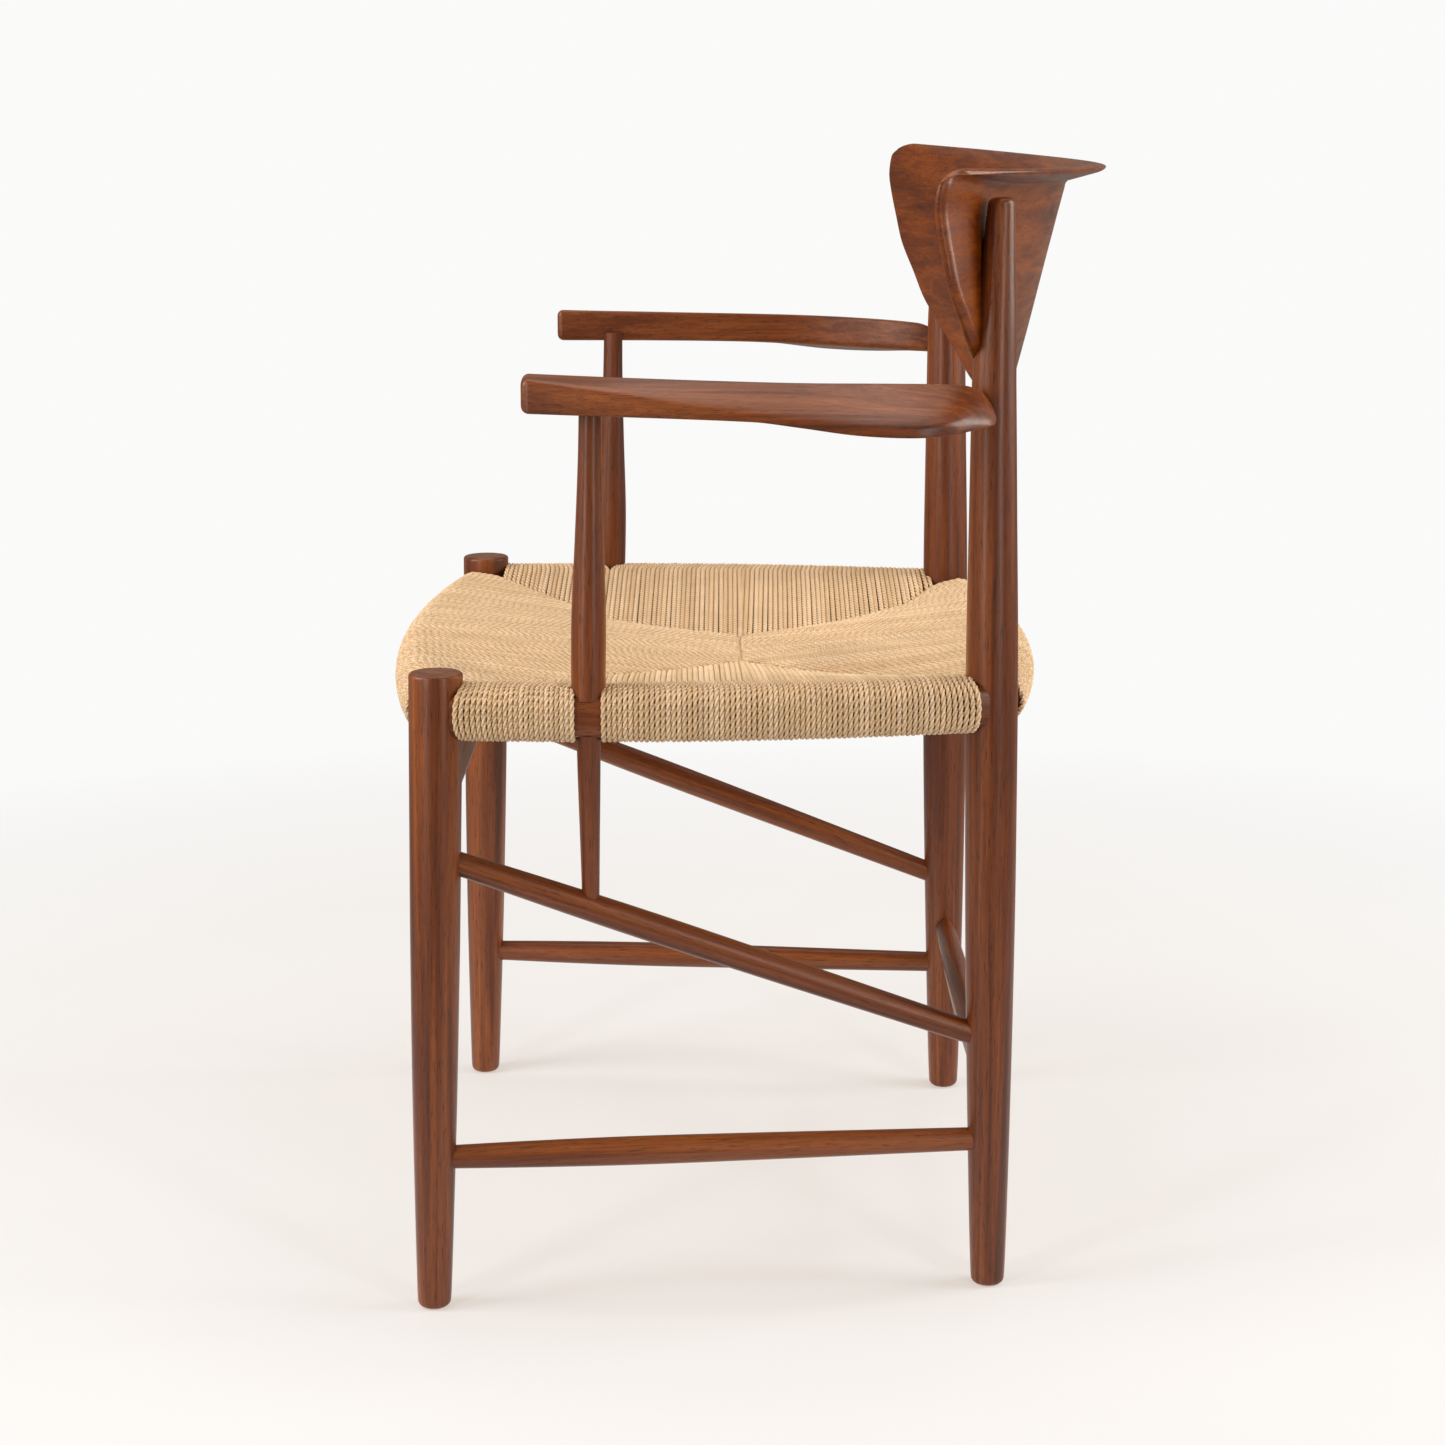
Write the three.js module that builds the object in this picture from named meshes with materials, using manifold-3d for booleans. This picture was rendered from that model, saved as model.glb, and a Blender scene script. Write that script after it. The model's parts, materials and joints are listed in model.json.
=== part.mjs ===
// A turned wooden armchair with a woven paper-cord seat, built as separate joined pieces.
// Millimetres, +Z up. The sitter faces -Y, so the chair's left side is on +X.
import * as THREE from 'three';
import { LoftGeometry } from 'three/addons/geometries/LoftGeometry.js';
import { mergeVertices } from 'three/addons/utils/BufferGeometryUtils.js';
import loadManifold from 'manifold-3d';

const wasm = await loadManifold();
wasm.setup();

// ---------- Driving dimensions ----------
const GAP = 0.3; // clearance between two pieces that touch
const AROUND = 20; // facets around a turned piece

// Legs: where each axis meets the floor and where it reaches the top, for the left side.
const FRONT_LEG = { foot: [260, -194], top: [247.5, -186], height: 446 };
const REAR_LEG = { foot: [219, 194], waist: [219.5, 187.5], top: [219.5, 190.5], height: 759 };
const REAR_WAIST = 640; // height at which the rear post starts to lean back
const FRONT_LEG_RADII = [[0, 11.6], [60, 13.3], [150, 15.4], [260, 17.0], [340, 17.6], [446, 18.3]];
const REAR_LEG_RADII = [
  [0, 11.8], [50, 13.3], [164, 15.7], [266, 17.2], [330, 17.6],
  [449, 17.7], [544, 16.3], [645, 14.7], [680, 13.6], [724, 10.9], [759, 9.0],
];
const FOOT_ROUND = 5; // rounding under each foot
const FRONT_TOP_ROUND = 2.2;
const REAR_TOP_ROUND = 4.5;

// Stretchers are fusiform rods: radius against the share of the length.
const ROD_RADII = [[0, 7.9], [0.18, 9.3], [0.36, 10.0], [0.6, 9.5], [0.82, 8.7], [1, 8.0]];
const CROSS_RADII = [[0, 7.4], [0.25, 9.2], [0.5, 9.9], [0.75, 9.2], [1, 7.4]];
const LOW_STRETCHER_Z = 107;
const DIAGONAL_FRONT_Z = 320;
const DIAGONAL_REAR_Z = 180;
const FRONT_STRETCHER_Z = 345;
const REAR_STRETCHER_Z = 141;
const SOCKET_DEPTH = 11; // how far a rod end reaches into a leg

// Seat rails: bowed outward in plan, with a rounded upright section.
const RAIL = { width: 22, height: 29.6, round: 8, middleZ: 419.2 };
const FRONT_RAIL = { endY: -191.5, middleY: -217 };
const REAR_RAIL = { endY: 196, middleY: 221 };
const SIDE_RAIL = { frontX: 251, rearX: 225, bow: 17.5 };
const TENON = { width: 10, height: 19, depth: 10 };

// Arm supports.
const ARM_POST = { rail: [258, -83.5], arm: [257, -80.5], top: 628, shoulderDrop: 4 };
const ARM_POST_RADII = [[0, 11.3], [0.14, 11.7], [0.3, 11.5], [0.55, 9.6], [0.8, 8.0], [1, 7.5]];
const SPINDLE_RADII = [[0, 5.9], [0.35, 6.7], [0.75, 7.7], [1, 8.1]];
const PEG = { radius: 5, length: 10 };

// Armrest: the four edges of its section at stations from front to rear (left side).
const ARM_FRONT = -125.5;
const ARM_REAR = 187.5;
const ARM_INNER_X = [[-127, 248], [-50, 259], [25, 265], [70, 264], [120, 252], [160, 238], [187.5, 231]];
const ARM_INNER_TOP = [[-127, 647], [-50, 645.7], [60, 643.3], [120, 641.3], [165, 638.5], [181, 631], [187.5, 620]];
const ARM_INNER_FOOT = [[-127, 622], [20, 619.5], [107, 616.5], [187.5, 614]];
const ARM_OUTER_X = [
  [-127, 271], [-50, 283], [25, 292], [95, 300], [130, 299], [148, 294], [168, 278], [187.5, 246],
];
const ARM_OUTER_TOP = [[-127, 645.5], [-50, 634.5], [-5, 627.5], [50, 621], [95, 618], [165, 620], [187.5, 617.5]];
const ARM_OUTER_FOOT = [[-127, 622], [25, 618.8], [55, 615.5], [95, 610.5], [140, 609], [187.5, 613]];
const ARM_EDGE_ROUND = 4.5;
const ARM_ROLL = [[-60, 5.5], [60, 15]]; // easing of the top face into its outer edge
const ARM_FRONT_ROUND = 5;
const ARM_REAR_ROUND = 3;

// Backrest shell: an upright wall whose wings run forward, with a lip turned out behind its top.
const BACK = {
  thickness: 8,
  bottomZ: 594,
  rearFootY: 212, // rear face of the wall at the bottom, on the centre plane
  lean: 0.26, // rearward travel per unit of height
  wingSlope: 0.67, // forward travel of the wings per unit of width, far from the middle
  wallShare: 0.84, // part of the shell's run that is wall; the rest is lip
  cornerRise: 6.5, // the wings' top corners stand this much above the middle
  cornerRound: { across: 18, up: 10.5 },
};
const BACK_BEND = [[620, 212], [660, 198], [700, 149], [745, 108], [770, 104]]; // radius in plan
const BACK_HALF_WIDTH = [
  [615, 130], [630, 167], [645, 202], [660, 231], [680, 249], [700, 260], [720, 264], [745, 268], [774, 273],
];
const LIP = { topZ: 774, underZ: 770, underSlope: 0.27, fillet: 6, frontRise: 10 };
const LIP_REACH = [[0, 31.5], [120, 29.5], [190, 25], [237, 13], [271, 1]];
const BACK_SCREW_HEIGHTS = [664, 696];
const SCREW = { headRadius: 3.4, headLength: 3, shankRadius: 1.9, length: 21, plugRadius: 4.5, plugLength: 5 };

// Woven seat.
const CORD = 3.4; // cord diameter, which is also how far the weave stands off the rails
const SEAT_DISH = 22; // how far the middle of the seat lies below the rail tops
const CORD_GAP_HALF = 9; // half the bare stretch of side rail at an arm post
const FRONT_CORNER = [235, -174]; // where the front and side wraps end beside a front leg
const REAR_CORNER = [203, 178];

// ---------- Solids ----------
// A closed three.js geometry as a manifold-3d solid.
function solid(geometry) {
  const bare = new THREE.BufferGeometry().copy(geometry);
  bare.deleteAttribute('normal');
  bare.deleteAttribute('uv');
  const merged = mergeVertices(bare, 1e-4);
  const corners = [];
  for (let i = 0; i < merged.index.count; i += 3) {
    const [a, b, c] = [0, 1, 2].map((k) => merged.index.getX(i + k));
    if (a !== b && b !== c && c !== a) corners.push(a, b, c);
  }
  return new wasm.Manifold(new wasm.Mesh({
    numProp: 3,
    vertProperties: new Float32Array(merged.attributes.position.array),
    triVerts: new Uint32Array(corners),
  }));
}

function geometryOf(body) {
  const mesh = body.getMesh();
  const geometry = new THREE.BufferGeometry();
  geometry.setAttribute('position', new THREE.BufferAttribute(mesh.vertProperties, 3));
  geometry.setIndex(new THREE.BufferAttribute(mesh.triVerts, 1));
  geometry.computeVertexNormals();
  return geometry;
}

const cut = (body, ...tools) => tools.reduce((left, tool) => left.subtract(tool), body);
const join = (body, ...others) => others.reduce((left, other) => left.add(other), body);

// The mirror image of a left-side solid in the chair's centre plane.
const mirrored = (body) => body.mirror([1, 0, 0]);

// A smooth value through [position, value] pairs, held constant past both ends.
function smooth(pairs) {
  return (at) => {
    if (at <= pairs[0][0]) return pairs[0][1];
    const last = pairs.length - 1;
    if (at >= pairs[last][0]) return pairs[last][1];
    const i = pairs.findIndex((pair) => pair[0] > at) - 1;
    const slope = (k) => {
      const before = pairs[Math.max(k - 1, 0)];
      const after = pairs[Math.min(k + 1, last)];
      return (after[1] - before[1]) / (after[0] - before[0]);
    };
    const span = pairs[i + 1][0] - pairs[i][0];
    const t = (at - pairs[i][0]) / span;
    const rise = pairs[i + 1][1] - pairs[i][1];
    const a = slope(i) * span - rise;
    const b = rise - slope(i + 1) * span;
    return pairs[i][1] + t * rise + t * (1 - t) * ((1 - t) * a + t * b);
  };
}

// ---------- Shape builders ----------
// A closed body through a row of sections. They are turned round if they wind against the row.
function loft(sections) {
  const centre = (section) => section
    .reduce((sum, point) => sum.add(point), new THREE.Vector3())
    .divideScalar(section.length);
  const travel = centre(sections.at(-1)).sub(centre(sections[0]));
  const normal = new THREE.Vector3();
  const first = sections[0];
  first.forEach((point, i) => normal.add(point.clone().cross(first[(i + 1) % first.length])));
  const wound = normal.dot(travel) < 0 ? sections.map((section) => section.toReversed()) : sections;
  return solid(new LoftGeometry(wound, { capStart: true, capEnd: true }));
}

// Points of a circle of the given radius about centre, in the plane of axes a and b.
function ring(centre, a, b, radius, count = AROUND) {
  return Array.from({ length: count }, (_, i) => {
    const angle = (i / count) * 2 * Math.PI;
    return centre.clone()
      .addScaledVector(a, radius * Math.cos(angle))
      .addScaledVector(b, radius * Math.sin(angle));
  });
}

// Heights and radii of an upright turned piece with rounded ends.
function postProfile(height, radiusAt, footRound, topRound, rings) {
  const profile = [];
  const arc = [0.33, 0.67];
  const inset = (round, t) => round * (1 - Math.sin(t * Math.PI / 2));
  const rise = (round, t) => round * (1 - Math.cos(t * Math.PI / 2));
  profile.push([0, radiusAt(0) - footRound]);
  for (const t of arc) profile.push([rise(footRound, t), radiusAt(0) - inset(footRound, t)]);
  for (let i = 0; i <= rings; i += 1) {
    const z = THREE.MathUtils.lerp(footRound, height - topRound, i / rings);
    profile.push([z, radiusAt(z)]);
  }
  for (const t of arc.toReversed()) {
    profile.push([height - rise(topRound, t), radiusAt(height) - inset(topRound, t)]);
  }
  profile.push([height, radiusAt(height) - topRound]);
  return profile;
}

// An upright turned piece whose centre follows centreAt(z); gap makes it fatter all round.
function uprightPost(profile, centreAt, gap) {
  const X = new THREE.Vector3(1, 0, 0);
  const Y = new THREE.Vector3(0, 1, 0);
  return loft(profile.map(([z, radius]) => {
    const [x, y] = centreAt(z);
    return ring(new THREE.Vector3(x, y, z), X, Y, radius + gap);
  }));
}

// A straight turned rod between two points. radii runs from start to end as shares of the length.
function rod(start, end, radii, gap = 0, steps = 8, count = 16) {
  const axis = end.clone().sub(start);
  const length = axis.length();
  const direction = axis.normalize();
  const side = new THREE.Vector3(0, 0, 1).cross(direction);
  if (side.length() < 0.1) side.set(1, 0, 0);
  side.normalize();
  const up = direction.clone().cross(side).normalize();
  const radiusAt = smooth(radii);
  const sections = [];
  for (let i = 0; i <= steps; i += 1) {
    const share = i / steps;
    const along = share * (length + 2 * gap) - gap;
    const centre = start.clone().addScaledVector(direction, along);
    sections.push(ring(centre, side, up, radiusAt(share) + gap, count));
  }
  return loft(sections);
}

// Outline of a rounded rectangle as [across, up] pairs, counterclockwise.
function roundedRectangle(width, height, round, perCorner = 3) {
  const points = [];
  for (let corner = 0; corner < 4; corner += 1) {
    const right = corner === 0 || corner === 3 ? 1 : -1;
    const top = corner < 2 ? 1 : -1;
    for (let i = 0; i <= perCorner; i += 1) {
      const angle = (corner + i / perCorner) * Math.PI / 2;
      points.push([
        right * (width / 2 - round) + round * Math.cos(angle),
        top * (height / 2 - round) + round * Math.sin(angle),
      ]);
    }
  }
  return points;
}

// A rail of rounded section along a level curve given by pointAt(share) = [x, y].
function bowedRail(pointAt, gap, steps = 10) {
  const outline = roundedRectangle(RAIL.width + 2 * gap, RAIL.height + 2 * gap, RAIL.round + gap);
  const sections = [];
  for (let i = 0; i <= steps; i += 1) {
    const [x, y] = pointAt(i / steps);
    const [x0, y0] = pointAt(i / steps - 0.01);
    const [x1, y1] = pointAt(i / steps + 0.01);
    const across = new THREE.Vector2(y1 - y0, x0 - x1).normalize();
    sections.push(outline.map(([out, up]) => (
      new THREE.Vector3(x + out * across.x, y + out * across.y, RAIL.middleZ + up)
    )));
  }
  return loft(sections);
}

function boxBetween([x0, y0, z0], [x1, y1, z1]) {
  const box = new THREE.BoxGeometry(x1 - x0, y1 - y0, z1 - z0);
  box.translate((x0 + x1) / 2, (y0 + y1) / 2, (z0 + z1) / 2);
  return solid(box);
}

// ---------- Legs ----------
function along(from, to, height) {
  return (z) => [0, 1].map((k) => THREE.MathUtils.lerp(from[k], to[k], z / height));
}

const frontLegCentre = along(FRONT_LEG.foot, FRONT_LEG.top, FRONT_LEG.height);

function rearLegCentre(z) {
  const straight = along(REAR_LEG.foot, REAR_LEG.waist, REAR_WAIST);
  if (z <= REAR_WAIST) return straight(z);
  const share = (z - REAR_WAIST) / (REAR_LEG.height - REAR_WAIST);
  return [0, 1].map((k) => THREE.MathUtils.lerp(REAR_LEG.waist[k], REAR_LEG.top[k], share));
}

function frontLegBody(gap = 0) {
  const radiusAt = smooth(FRONT_LEG_RADII);
  const profile = postProfile(FRONT_LEG.height, radiusAt, FOOT_ROUND, FRONT_TOP_ROUND, 6);
  return uprightPost(profile, frontLegCentre, gap);
}

function rearLegBody(gap = 0) {
  const radiusAt = smooth(REAR_LEG_RADII);
  const profile = postProfile(REAR_LEG.height, radiusAt, FOOT_ROUND, REAR_TOP_ROUND, 11);
  return uprightPost(profile, rearLegCentre, gap);
}

// A point on a left leg's axis, or its mirror image on the right.
const frontAt = (z, side = 1) => new THREE.Vector3(side * frontLegCentre(z)[0], frontLegCentre(z)[1], z);
const rearAt = (z, side = 1) => new THREE.Vector3(side * rearLegCentre(z)[0], rearLegCentre(z)[1], z);

// A rod between two leg axes, stopped in its sockets short of each axis.
function stretcher(from, to, fromRadius, toRadius, radii, gap) {
  const direction = to.clone().sub(from).normalize();
  const start = from.clone().addScaledVector(direction, fromRadius - SOCKET_DEPTH);
  const end = to.clone().addScaledVector(direction, SOCKET_DEPTH - toRadius);
  return rod(start, end, radii, gap);
}

function lowStretcher(gap = 0) {
  return stretcher(frontAt(LOW_STRETCHER_Z), rearAt(LOW_STRETCHER_Z), 14.5, 14.7, ROD_RADII, gap);
}

function diagonalStretcher(gap = 0) {
  return stretcher(frontAt(DIAGONAL_FRONT_Z), rearAt(DIAGONAL_REAR_Z), 17.5, 16, ROD_RADII, gap);
}

function frontStretcher(gap = 0) {
  const z = FRONT_STRETCHER_Z;
  return stretcher(frontAt(z, -1), frontAt(z), 17.6, 17.6, CROSS_RADII, gap);
}

function rearStretcher(gap = 0) {
  const z = REAR_STRETCHER_Z;
  return stretcher(rearAt(z, -1), rearAt(z), 15.3, 15.3, CROSS_RADII, gap);
}

// ---------- Rails ----------
const bowed = (share, end, middle) => end + (middle - end) * 4 * share * (1 - share);

function frontRailPoint(share) {
  return [THREE.MathUtils.lerp(-248, 248, share), bowed(share, FRONT_RAIL.endY, FRONT_RAIL.middleY)];
}

function rearRailPoint(share) {
  return [THREE.MathUtils.lerp(219, -219, share), bowed(share, REAR_RAIL.endY, REAR_RAIL.middleY)];
}

function sideRailPoint(share) {
  const straight = THREE.MathUtils.lerp(SIDE_RAIL.frontX, SIDE_RAIL.rearX, share);
  return [bowed(share, straight, straight + SIDE_RAIL.bow), THREE.MathUtils.lerp(-187, 189, share)];
}

// The tongue that each rail end pushes into a leg, between two plan corners.
function tenonBox(corner0, corner1, gap) {
  const half = TENON.height / 2 + gap;
  const low = [Math.min(corner0[0], corner1[0]) - gap, Math.min(corner0[1], corner1[1]) - gap];
  const high = [Math.max(corner0[0], corner1[0]) + gap, Math.max(corner0[1], corner1[1]) + gap];
  return boxBetween([...low, RAIL.middleZ - half], [...high, RAIL.middleZ + half]);
}

const REACH = 24; // how far the tongues run back into their rails
const HALF = TENON.width / 2;
const [FRONT_X, FRONT_Y] = frontLegCentre(RAIL.middleZ);
const [REAR_X, REAR_Y] = rearLegCentre(RAIL.middleZ);
const FRONT_FACE = 18.2; // leg radii at the rails
const REAR_FACE = 17.7;

const sideFrontTenon = (gap = 0) => tenonBox(
  [251 - HALF, FRONT_Y + FRONT_FACE - TENON.depth],
  [251 + HALF, FRONT_Y + REACH],
  gap,
);
const sideRearTenon = (gap = 0) => tenonBox(
  [225 - HALF, REAR_Y - REACH],
  [225 + HALF, REAR_Y - REAR_FACE + TENON.depth],
  gap,
);
const frontTenon = (gap = 0) => tenonBox(
  [FRONT_X - REACH, -191 - HALF],
  [FRONT_X - FRONT_FACE + TENON.depth, -191 + HALF],
  gap,
);
const rearTenon = (gap = 0) => tenonBox(
  [REAR_X - REACH, 195 - HALF],
  [REAR_X - REAR_FACE + TENON.depth, 195 + HALF],
  gap,
);

// ---------- Arm supports ----------
const RAIL_TOP = RAIL.middleZ + RAIL.height / 2;
const RAIL_FOOT = RAIL.middleZ - RAIL.height / 2;

const upright = (x, y, z) => new THREE.Vector3(x, y, z);

// The peg that stands an arm post on its rail.
function armPostPeg(gap = 0) {
  const [x, y] = ARM_POST.rail;
  const peg = [[0, PEG.radius], [1, PEG.radius]];
  return rod(upright(x, y, RAIL_TOP - PEG.length), upright(x, y, RAIL_TOP + 8), peg, gap, 1, 12);
}

function armPostBody(gap = 0) {
  const [x0, y0] = ARM_POST.rail;
  const [x1, y1] = ARM_POST.arm;
  const start = upright(x0, y0, RAIL_TOP - ARM_POST.shoulderDrop);
  return rod(start, upright(x1, y1, ARM_POST.top), ARM_POST_RADII, gap, 8, 18);
}

// Where the diagonal's axis passes under the arm post.
function diagonalBelowPost() {
  const from = frontAt(DIAGONAL_FRONT_Z);
  const to = rearAt(DIAGONAL_REAR_Z);
  const share = (ARM_POST.rail[1] - from.y) / (to.y - from.y);
  return from.lerp(to, share);
}

function spindlePeg(gap = 0) {
  const [x, y] = ARM_POST.rail;
  const peg = [[0, PEG.radius], [1, PEG.radius]];
  return rod(upright(x, y, RAIL_FOOT - 8), upright(x, y, RAIL_FOOT + PEG.length), peg, gap, 1, 12);
}

function spindleBody(gap = 0) {
  const [x, y] = ARM_POST.rail;
  const foot = diagonalBelowPost();
  foot.z += 4;
  return rod(foot, upright(x, y, RAIL_FOOT + 2.2), SPINDLE_RADII, gap, 5, 16);
}

// ---------- Armrest ----------
// A four-cornered section in the plane y = const, drawn in all round by inset.
function armSection(y, inset) {
  const inner = smooth(ARM_INNER_X)(y);
  const outer = smooth(ARM_OUTER_X)(y);
  const corners = [
    [outer, smooth(ARM_OUTER_FOOT)(y)],
    [outer, smooth(ARM_OUTER_TOP)(y)],
    [inner, smooth(ARM_INNER_TOP)(y)],
    [inner, smooth(ARM_INNER_FOOT)(y)],
  ].map(([x, z]) => new THREE.Vector2(x, z));
  const points = corners.flatMap((corner, k) => {
    const before = corners[(k + 3) % 4].clone().sub(corner);
    const after = corners[(k + 1) % 4].clone().sub(corner);
    const roll = k === 1 ? smooth(ARM_ROLL)(y) : ARM_EDGE_ROUND;
    const start = before.clone().setLength(Math.min(ARM_EDGE_ROUND, before.length() * 0.45));
    const end = after.clone().setLength(Math.min(roll, after.length() * 0.45));
    return new THREE.QuadraticBezierCurve(start.add(corner), corner, end.add(corner)).getPoints(3);
  });
  const box = new THREE.Box2().setFromPoints(points);
  const middle = box.getCenter(new THREE.Vector2());
  const size = box.getSize(new THREE.Vector2());
  return points.map((point) => new THREE.Vector3(
    middle.x + (point.x - middle.x) * Math.max(1 - 2 * inset / size.x, 0.2),
    y,
    middle.y + (point.y - middle.y) * Math.max(1 - 2 * inset / size.y, 0.2),
  ));
}

function armrestBody() {
  const sections = [];
  const steps = 22;
  // How far a section draws in at a distance from an end of the given rounding.
  const drawnIn = (distance, round) => {
    const t = Math.min(distance / round, 1);
    return round * (1 - Math.sqrt(1 - (1 - t) ** 2));
  };
  for (let i = 0; i <= steps; i += 1) {
    const turn = (i / steps) * Math.PI;
    const y = (ARM_FRONT + ARM_REAR) / 2 - ((ARM_REAR - ARM_FRONT) / 2) * Math.cos(turn);
    const inset = drawnIn(y - ARM_FRONT, ARM_FRONT_ROUND) + drawnIn(ARM_REAR - y, ARM_REAR_ROUND);
    sections.push(armSection(y, inset));
  }
  return loft(sections);
}

// ---------- Backrest ----------
function backHalfWidth(z) {
  const lowest = BACK_HALF_WIDTH[0];
  if (z > lowest[0]) return smooth(BACK_HALF_WIDTH)(z);
  return lowest[1] * Math.sqrt(Math.max(z - BACK.bottomZ, 0) / (lowest[0] - BACK.bottomZ));
}

// Rear and front points of the shell at distance x from the centre plane. share runs from 0 to 1
// up the wall and then out along the lip.
function backFaces(x, share) {
  const reach = smooth(LIP_REACH)(Math.abs(x));
  const wall = Math.min(share / BACK.wallShare, 1);
  const out = Math.max((share - BACK.wallShare) / (1 - BACK.wallShare), 0);
  // Rear face: straight wall, a small fillet, then the rising underside of the lip.
  const filletOut = 0.3;
  const fillet = Math.min(reach, LIP.fillet);
  const rootZ = LIP.underZ - LIP.underSlope * (reach - fillet);
  const wallTop = rootZ - LIP.fillet;
  const turn = Math.min(out / filletOut, 1) * Math.PI / 2;
  const slide = Math.max((out - filletOut) / (1 - filletOut), 0);
  const rear = {
    back: fillet * (1 - Math.cos(turn)) + (reach - fillet) * slide,
    z: THREE.MathUtils.lerp(BACK.bottomZ, wallTop, wall)
      + LIP.fillet * Math.sin(turn) + (LIP.underZ - rootZ) * slide,
  };
  // Front face: straight wall, then one wide easy curve to the top of the lip.
  const rise = LIP.frontRise + reach / 2;
  const bow = out * Math.PI / 2;
  const tipThickness = LIP.topZ - LIP.underZ;
  const front = {
    back: (reach - tipThickness + BACK.thickness) * (1 - Math.cos(bow)) - BACK.thickness,
    z: THREE.MathUtils.lerp(BACK.bottomZ, LIP.topZ - rise, wall) + rise * Math.sin(bow),
  };
  const lift = BACK.cornerRise * (x / BACK_HALF_WIDTH.at(-1)[1]) ** 2 * share;
  return [rear, front].map(({ back, z }) => {
    const bend = smooth(BACK_BEND)(z);
    const forward = Math.hypot(bend, BACK.wingSlope * x) - bend;
    const wallY = BACK.rearFootY + BACK.lean * (Math.min(z, wallTop) - BACK.bottomZ);
    return new THREE.Vector3(x, wallY - forward + back, z + lift);
  });
}

// How much of its full size the shell keeps at a share of the way (0 to 1) into a rounded edge.
const roundedOff = (into) => Math.sqrt(1 - THREE.MathUtils.clamp(into, 0, 1) ** 2);

function backrestBody(gap = 0) {
  const across = 18;
  const topEdge = 0.03; // part of the run in which the lip's edge rounds off
  const wall = [0.02, 0.05, 0.1, 0.16, 0.23, 0.31, 0.4, 0.5, 0.6, 0.7, 0.78];
  const lip = [0.84, 0.865, 0.888, 0.92, 0.95, 0.97, 0.985, 0.994, 1];
  const tipZ = (LIP.topZ + LIP.underZ) / 2;
  const sections = [...wall, ...lip].map((share) => {
    const [wingRear, wingFront] = backFaces(BACK_HALF_WIDTH.at(-1)[1], share);
    const z = (wingRear.z + wingFront.z) / 2 - BACK.cornerRise * share;
    const corner = BACK.cornerRound;
    const cutBack = corner.across * (1 - roundedOff(1 - (tipZ - z) / corner.up));
    const halfWidth = backHalfWidth(z) - cutBack + gap;
    const depth = Math.max(roundedOff(1 - (1 - share) / topEdge), 0.15);
    const side = (sign) => (k) => {
      const x = -halfWidth * Math.cos((k / across) * Math.PI) * sign;
      const thin = roundedOff(1 - (halfWidth - Math.abs(x)) / (BACK.thickness / 2));
      const [rear, front] = backFaces(x, share);
      const half = rear.clone().sub(front).divideScalar(2);
      half.setLength(half.length() * depth * thin + gap);
      return rear.add(front).divideScalar(2).addScaledVector(half, sign);
    };
    const steps = Array.from({ length: across }, (_, k) => k);
    return [...steps.map(side(1)), ...steps.map(side(-1))];
  });
  return loft(sections);
}

// Rear face of a post at height z, where a screw goes in.
function screwMouth(z, side = 1) {
  const [x, y] = rearLegCentre(z);
  return new THREE.Vector3(side * x, y + smooth(REAR_LEG_RADII)(z), z);
}

function backScrew(z, gap = 0) {
  const mouth = screwMouth(z);
  const headTop = mouth.y - SCREW.plugLength - GAP;
  const at = (y) => new THREE.Vector3(mouth.x, y, z);
  const disc = (radius) => [[0, radius], [1, radius]];
  const headFoot = headTop - SCREW.headLength;
  const head = rod(at(headTop), at(headFoot), disc(SCREW.headRadius), gap, 1, 12);
  const shank = rod(at(headFoot + 0.5), at(headTop - SCREW.length), disc(SCREW.shankRadius), gap, 1, 8);
  return join(head, shank);
}

// The hole for a plug runs out of the post; the plug itself is trimmed to the post's surface.
function plugHole(z, gap = 0) {
  const mouth = screwMouth(z);
  const start = new THREE.Vector3(mouth.x, mouth.y - SCREW.plugLength, z);
  const end = new THREE.Vector3(mouth.x, mouth.y + 2, z);
  return rod(start, end, [[0, SCREW.plugRadius], [1, SCREW.plugRadius]], gap, 1, 12);
}

const backPlug = (z) => plugHole(z).intersect(rearLegBody());

// ---------- Woven seat ----------
// Outer plan outline of the wraps: bowed rails plus half a rail and one cord.
function seatOutline(angle) {
  const stand = RAIL.width / 2 + CORD;
  const heading = new THREE.Vector2(Math.sin(angle), -Math.cos(angle));
  let reach = 200;
  // Walk outward until the point leaves the bowed outline.
  for (let step = 32; step > 0.05; step /= 2) {
    while (insideSeat(heading.x * (reach + step), heading.y * (reach + step), stand)) reach += step;
  }
  return heading.multiplyScalar(reach);
}

function insideSeat(x, y, stand) {
  const frontShare = THREE.MathUtils.clamp((x + 248) / 496, -0.1, 1.1);
  const rearShare = THREE.MathUtils.clamp((219 - x) / 438, -0.15, 1.15);
  const sideShare = THREE.MathUtils.clamp((y + 187) / 376, -0.1, 1.15);
  return y > frontRailPoint(frontShare)[1] - stand
    && y < rearRailPoint(rearShare)[1] + stand
    && Math.abs(x) < sideRailPoint(sideShare)[0] + stand;
}

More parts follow.
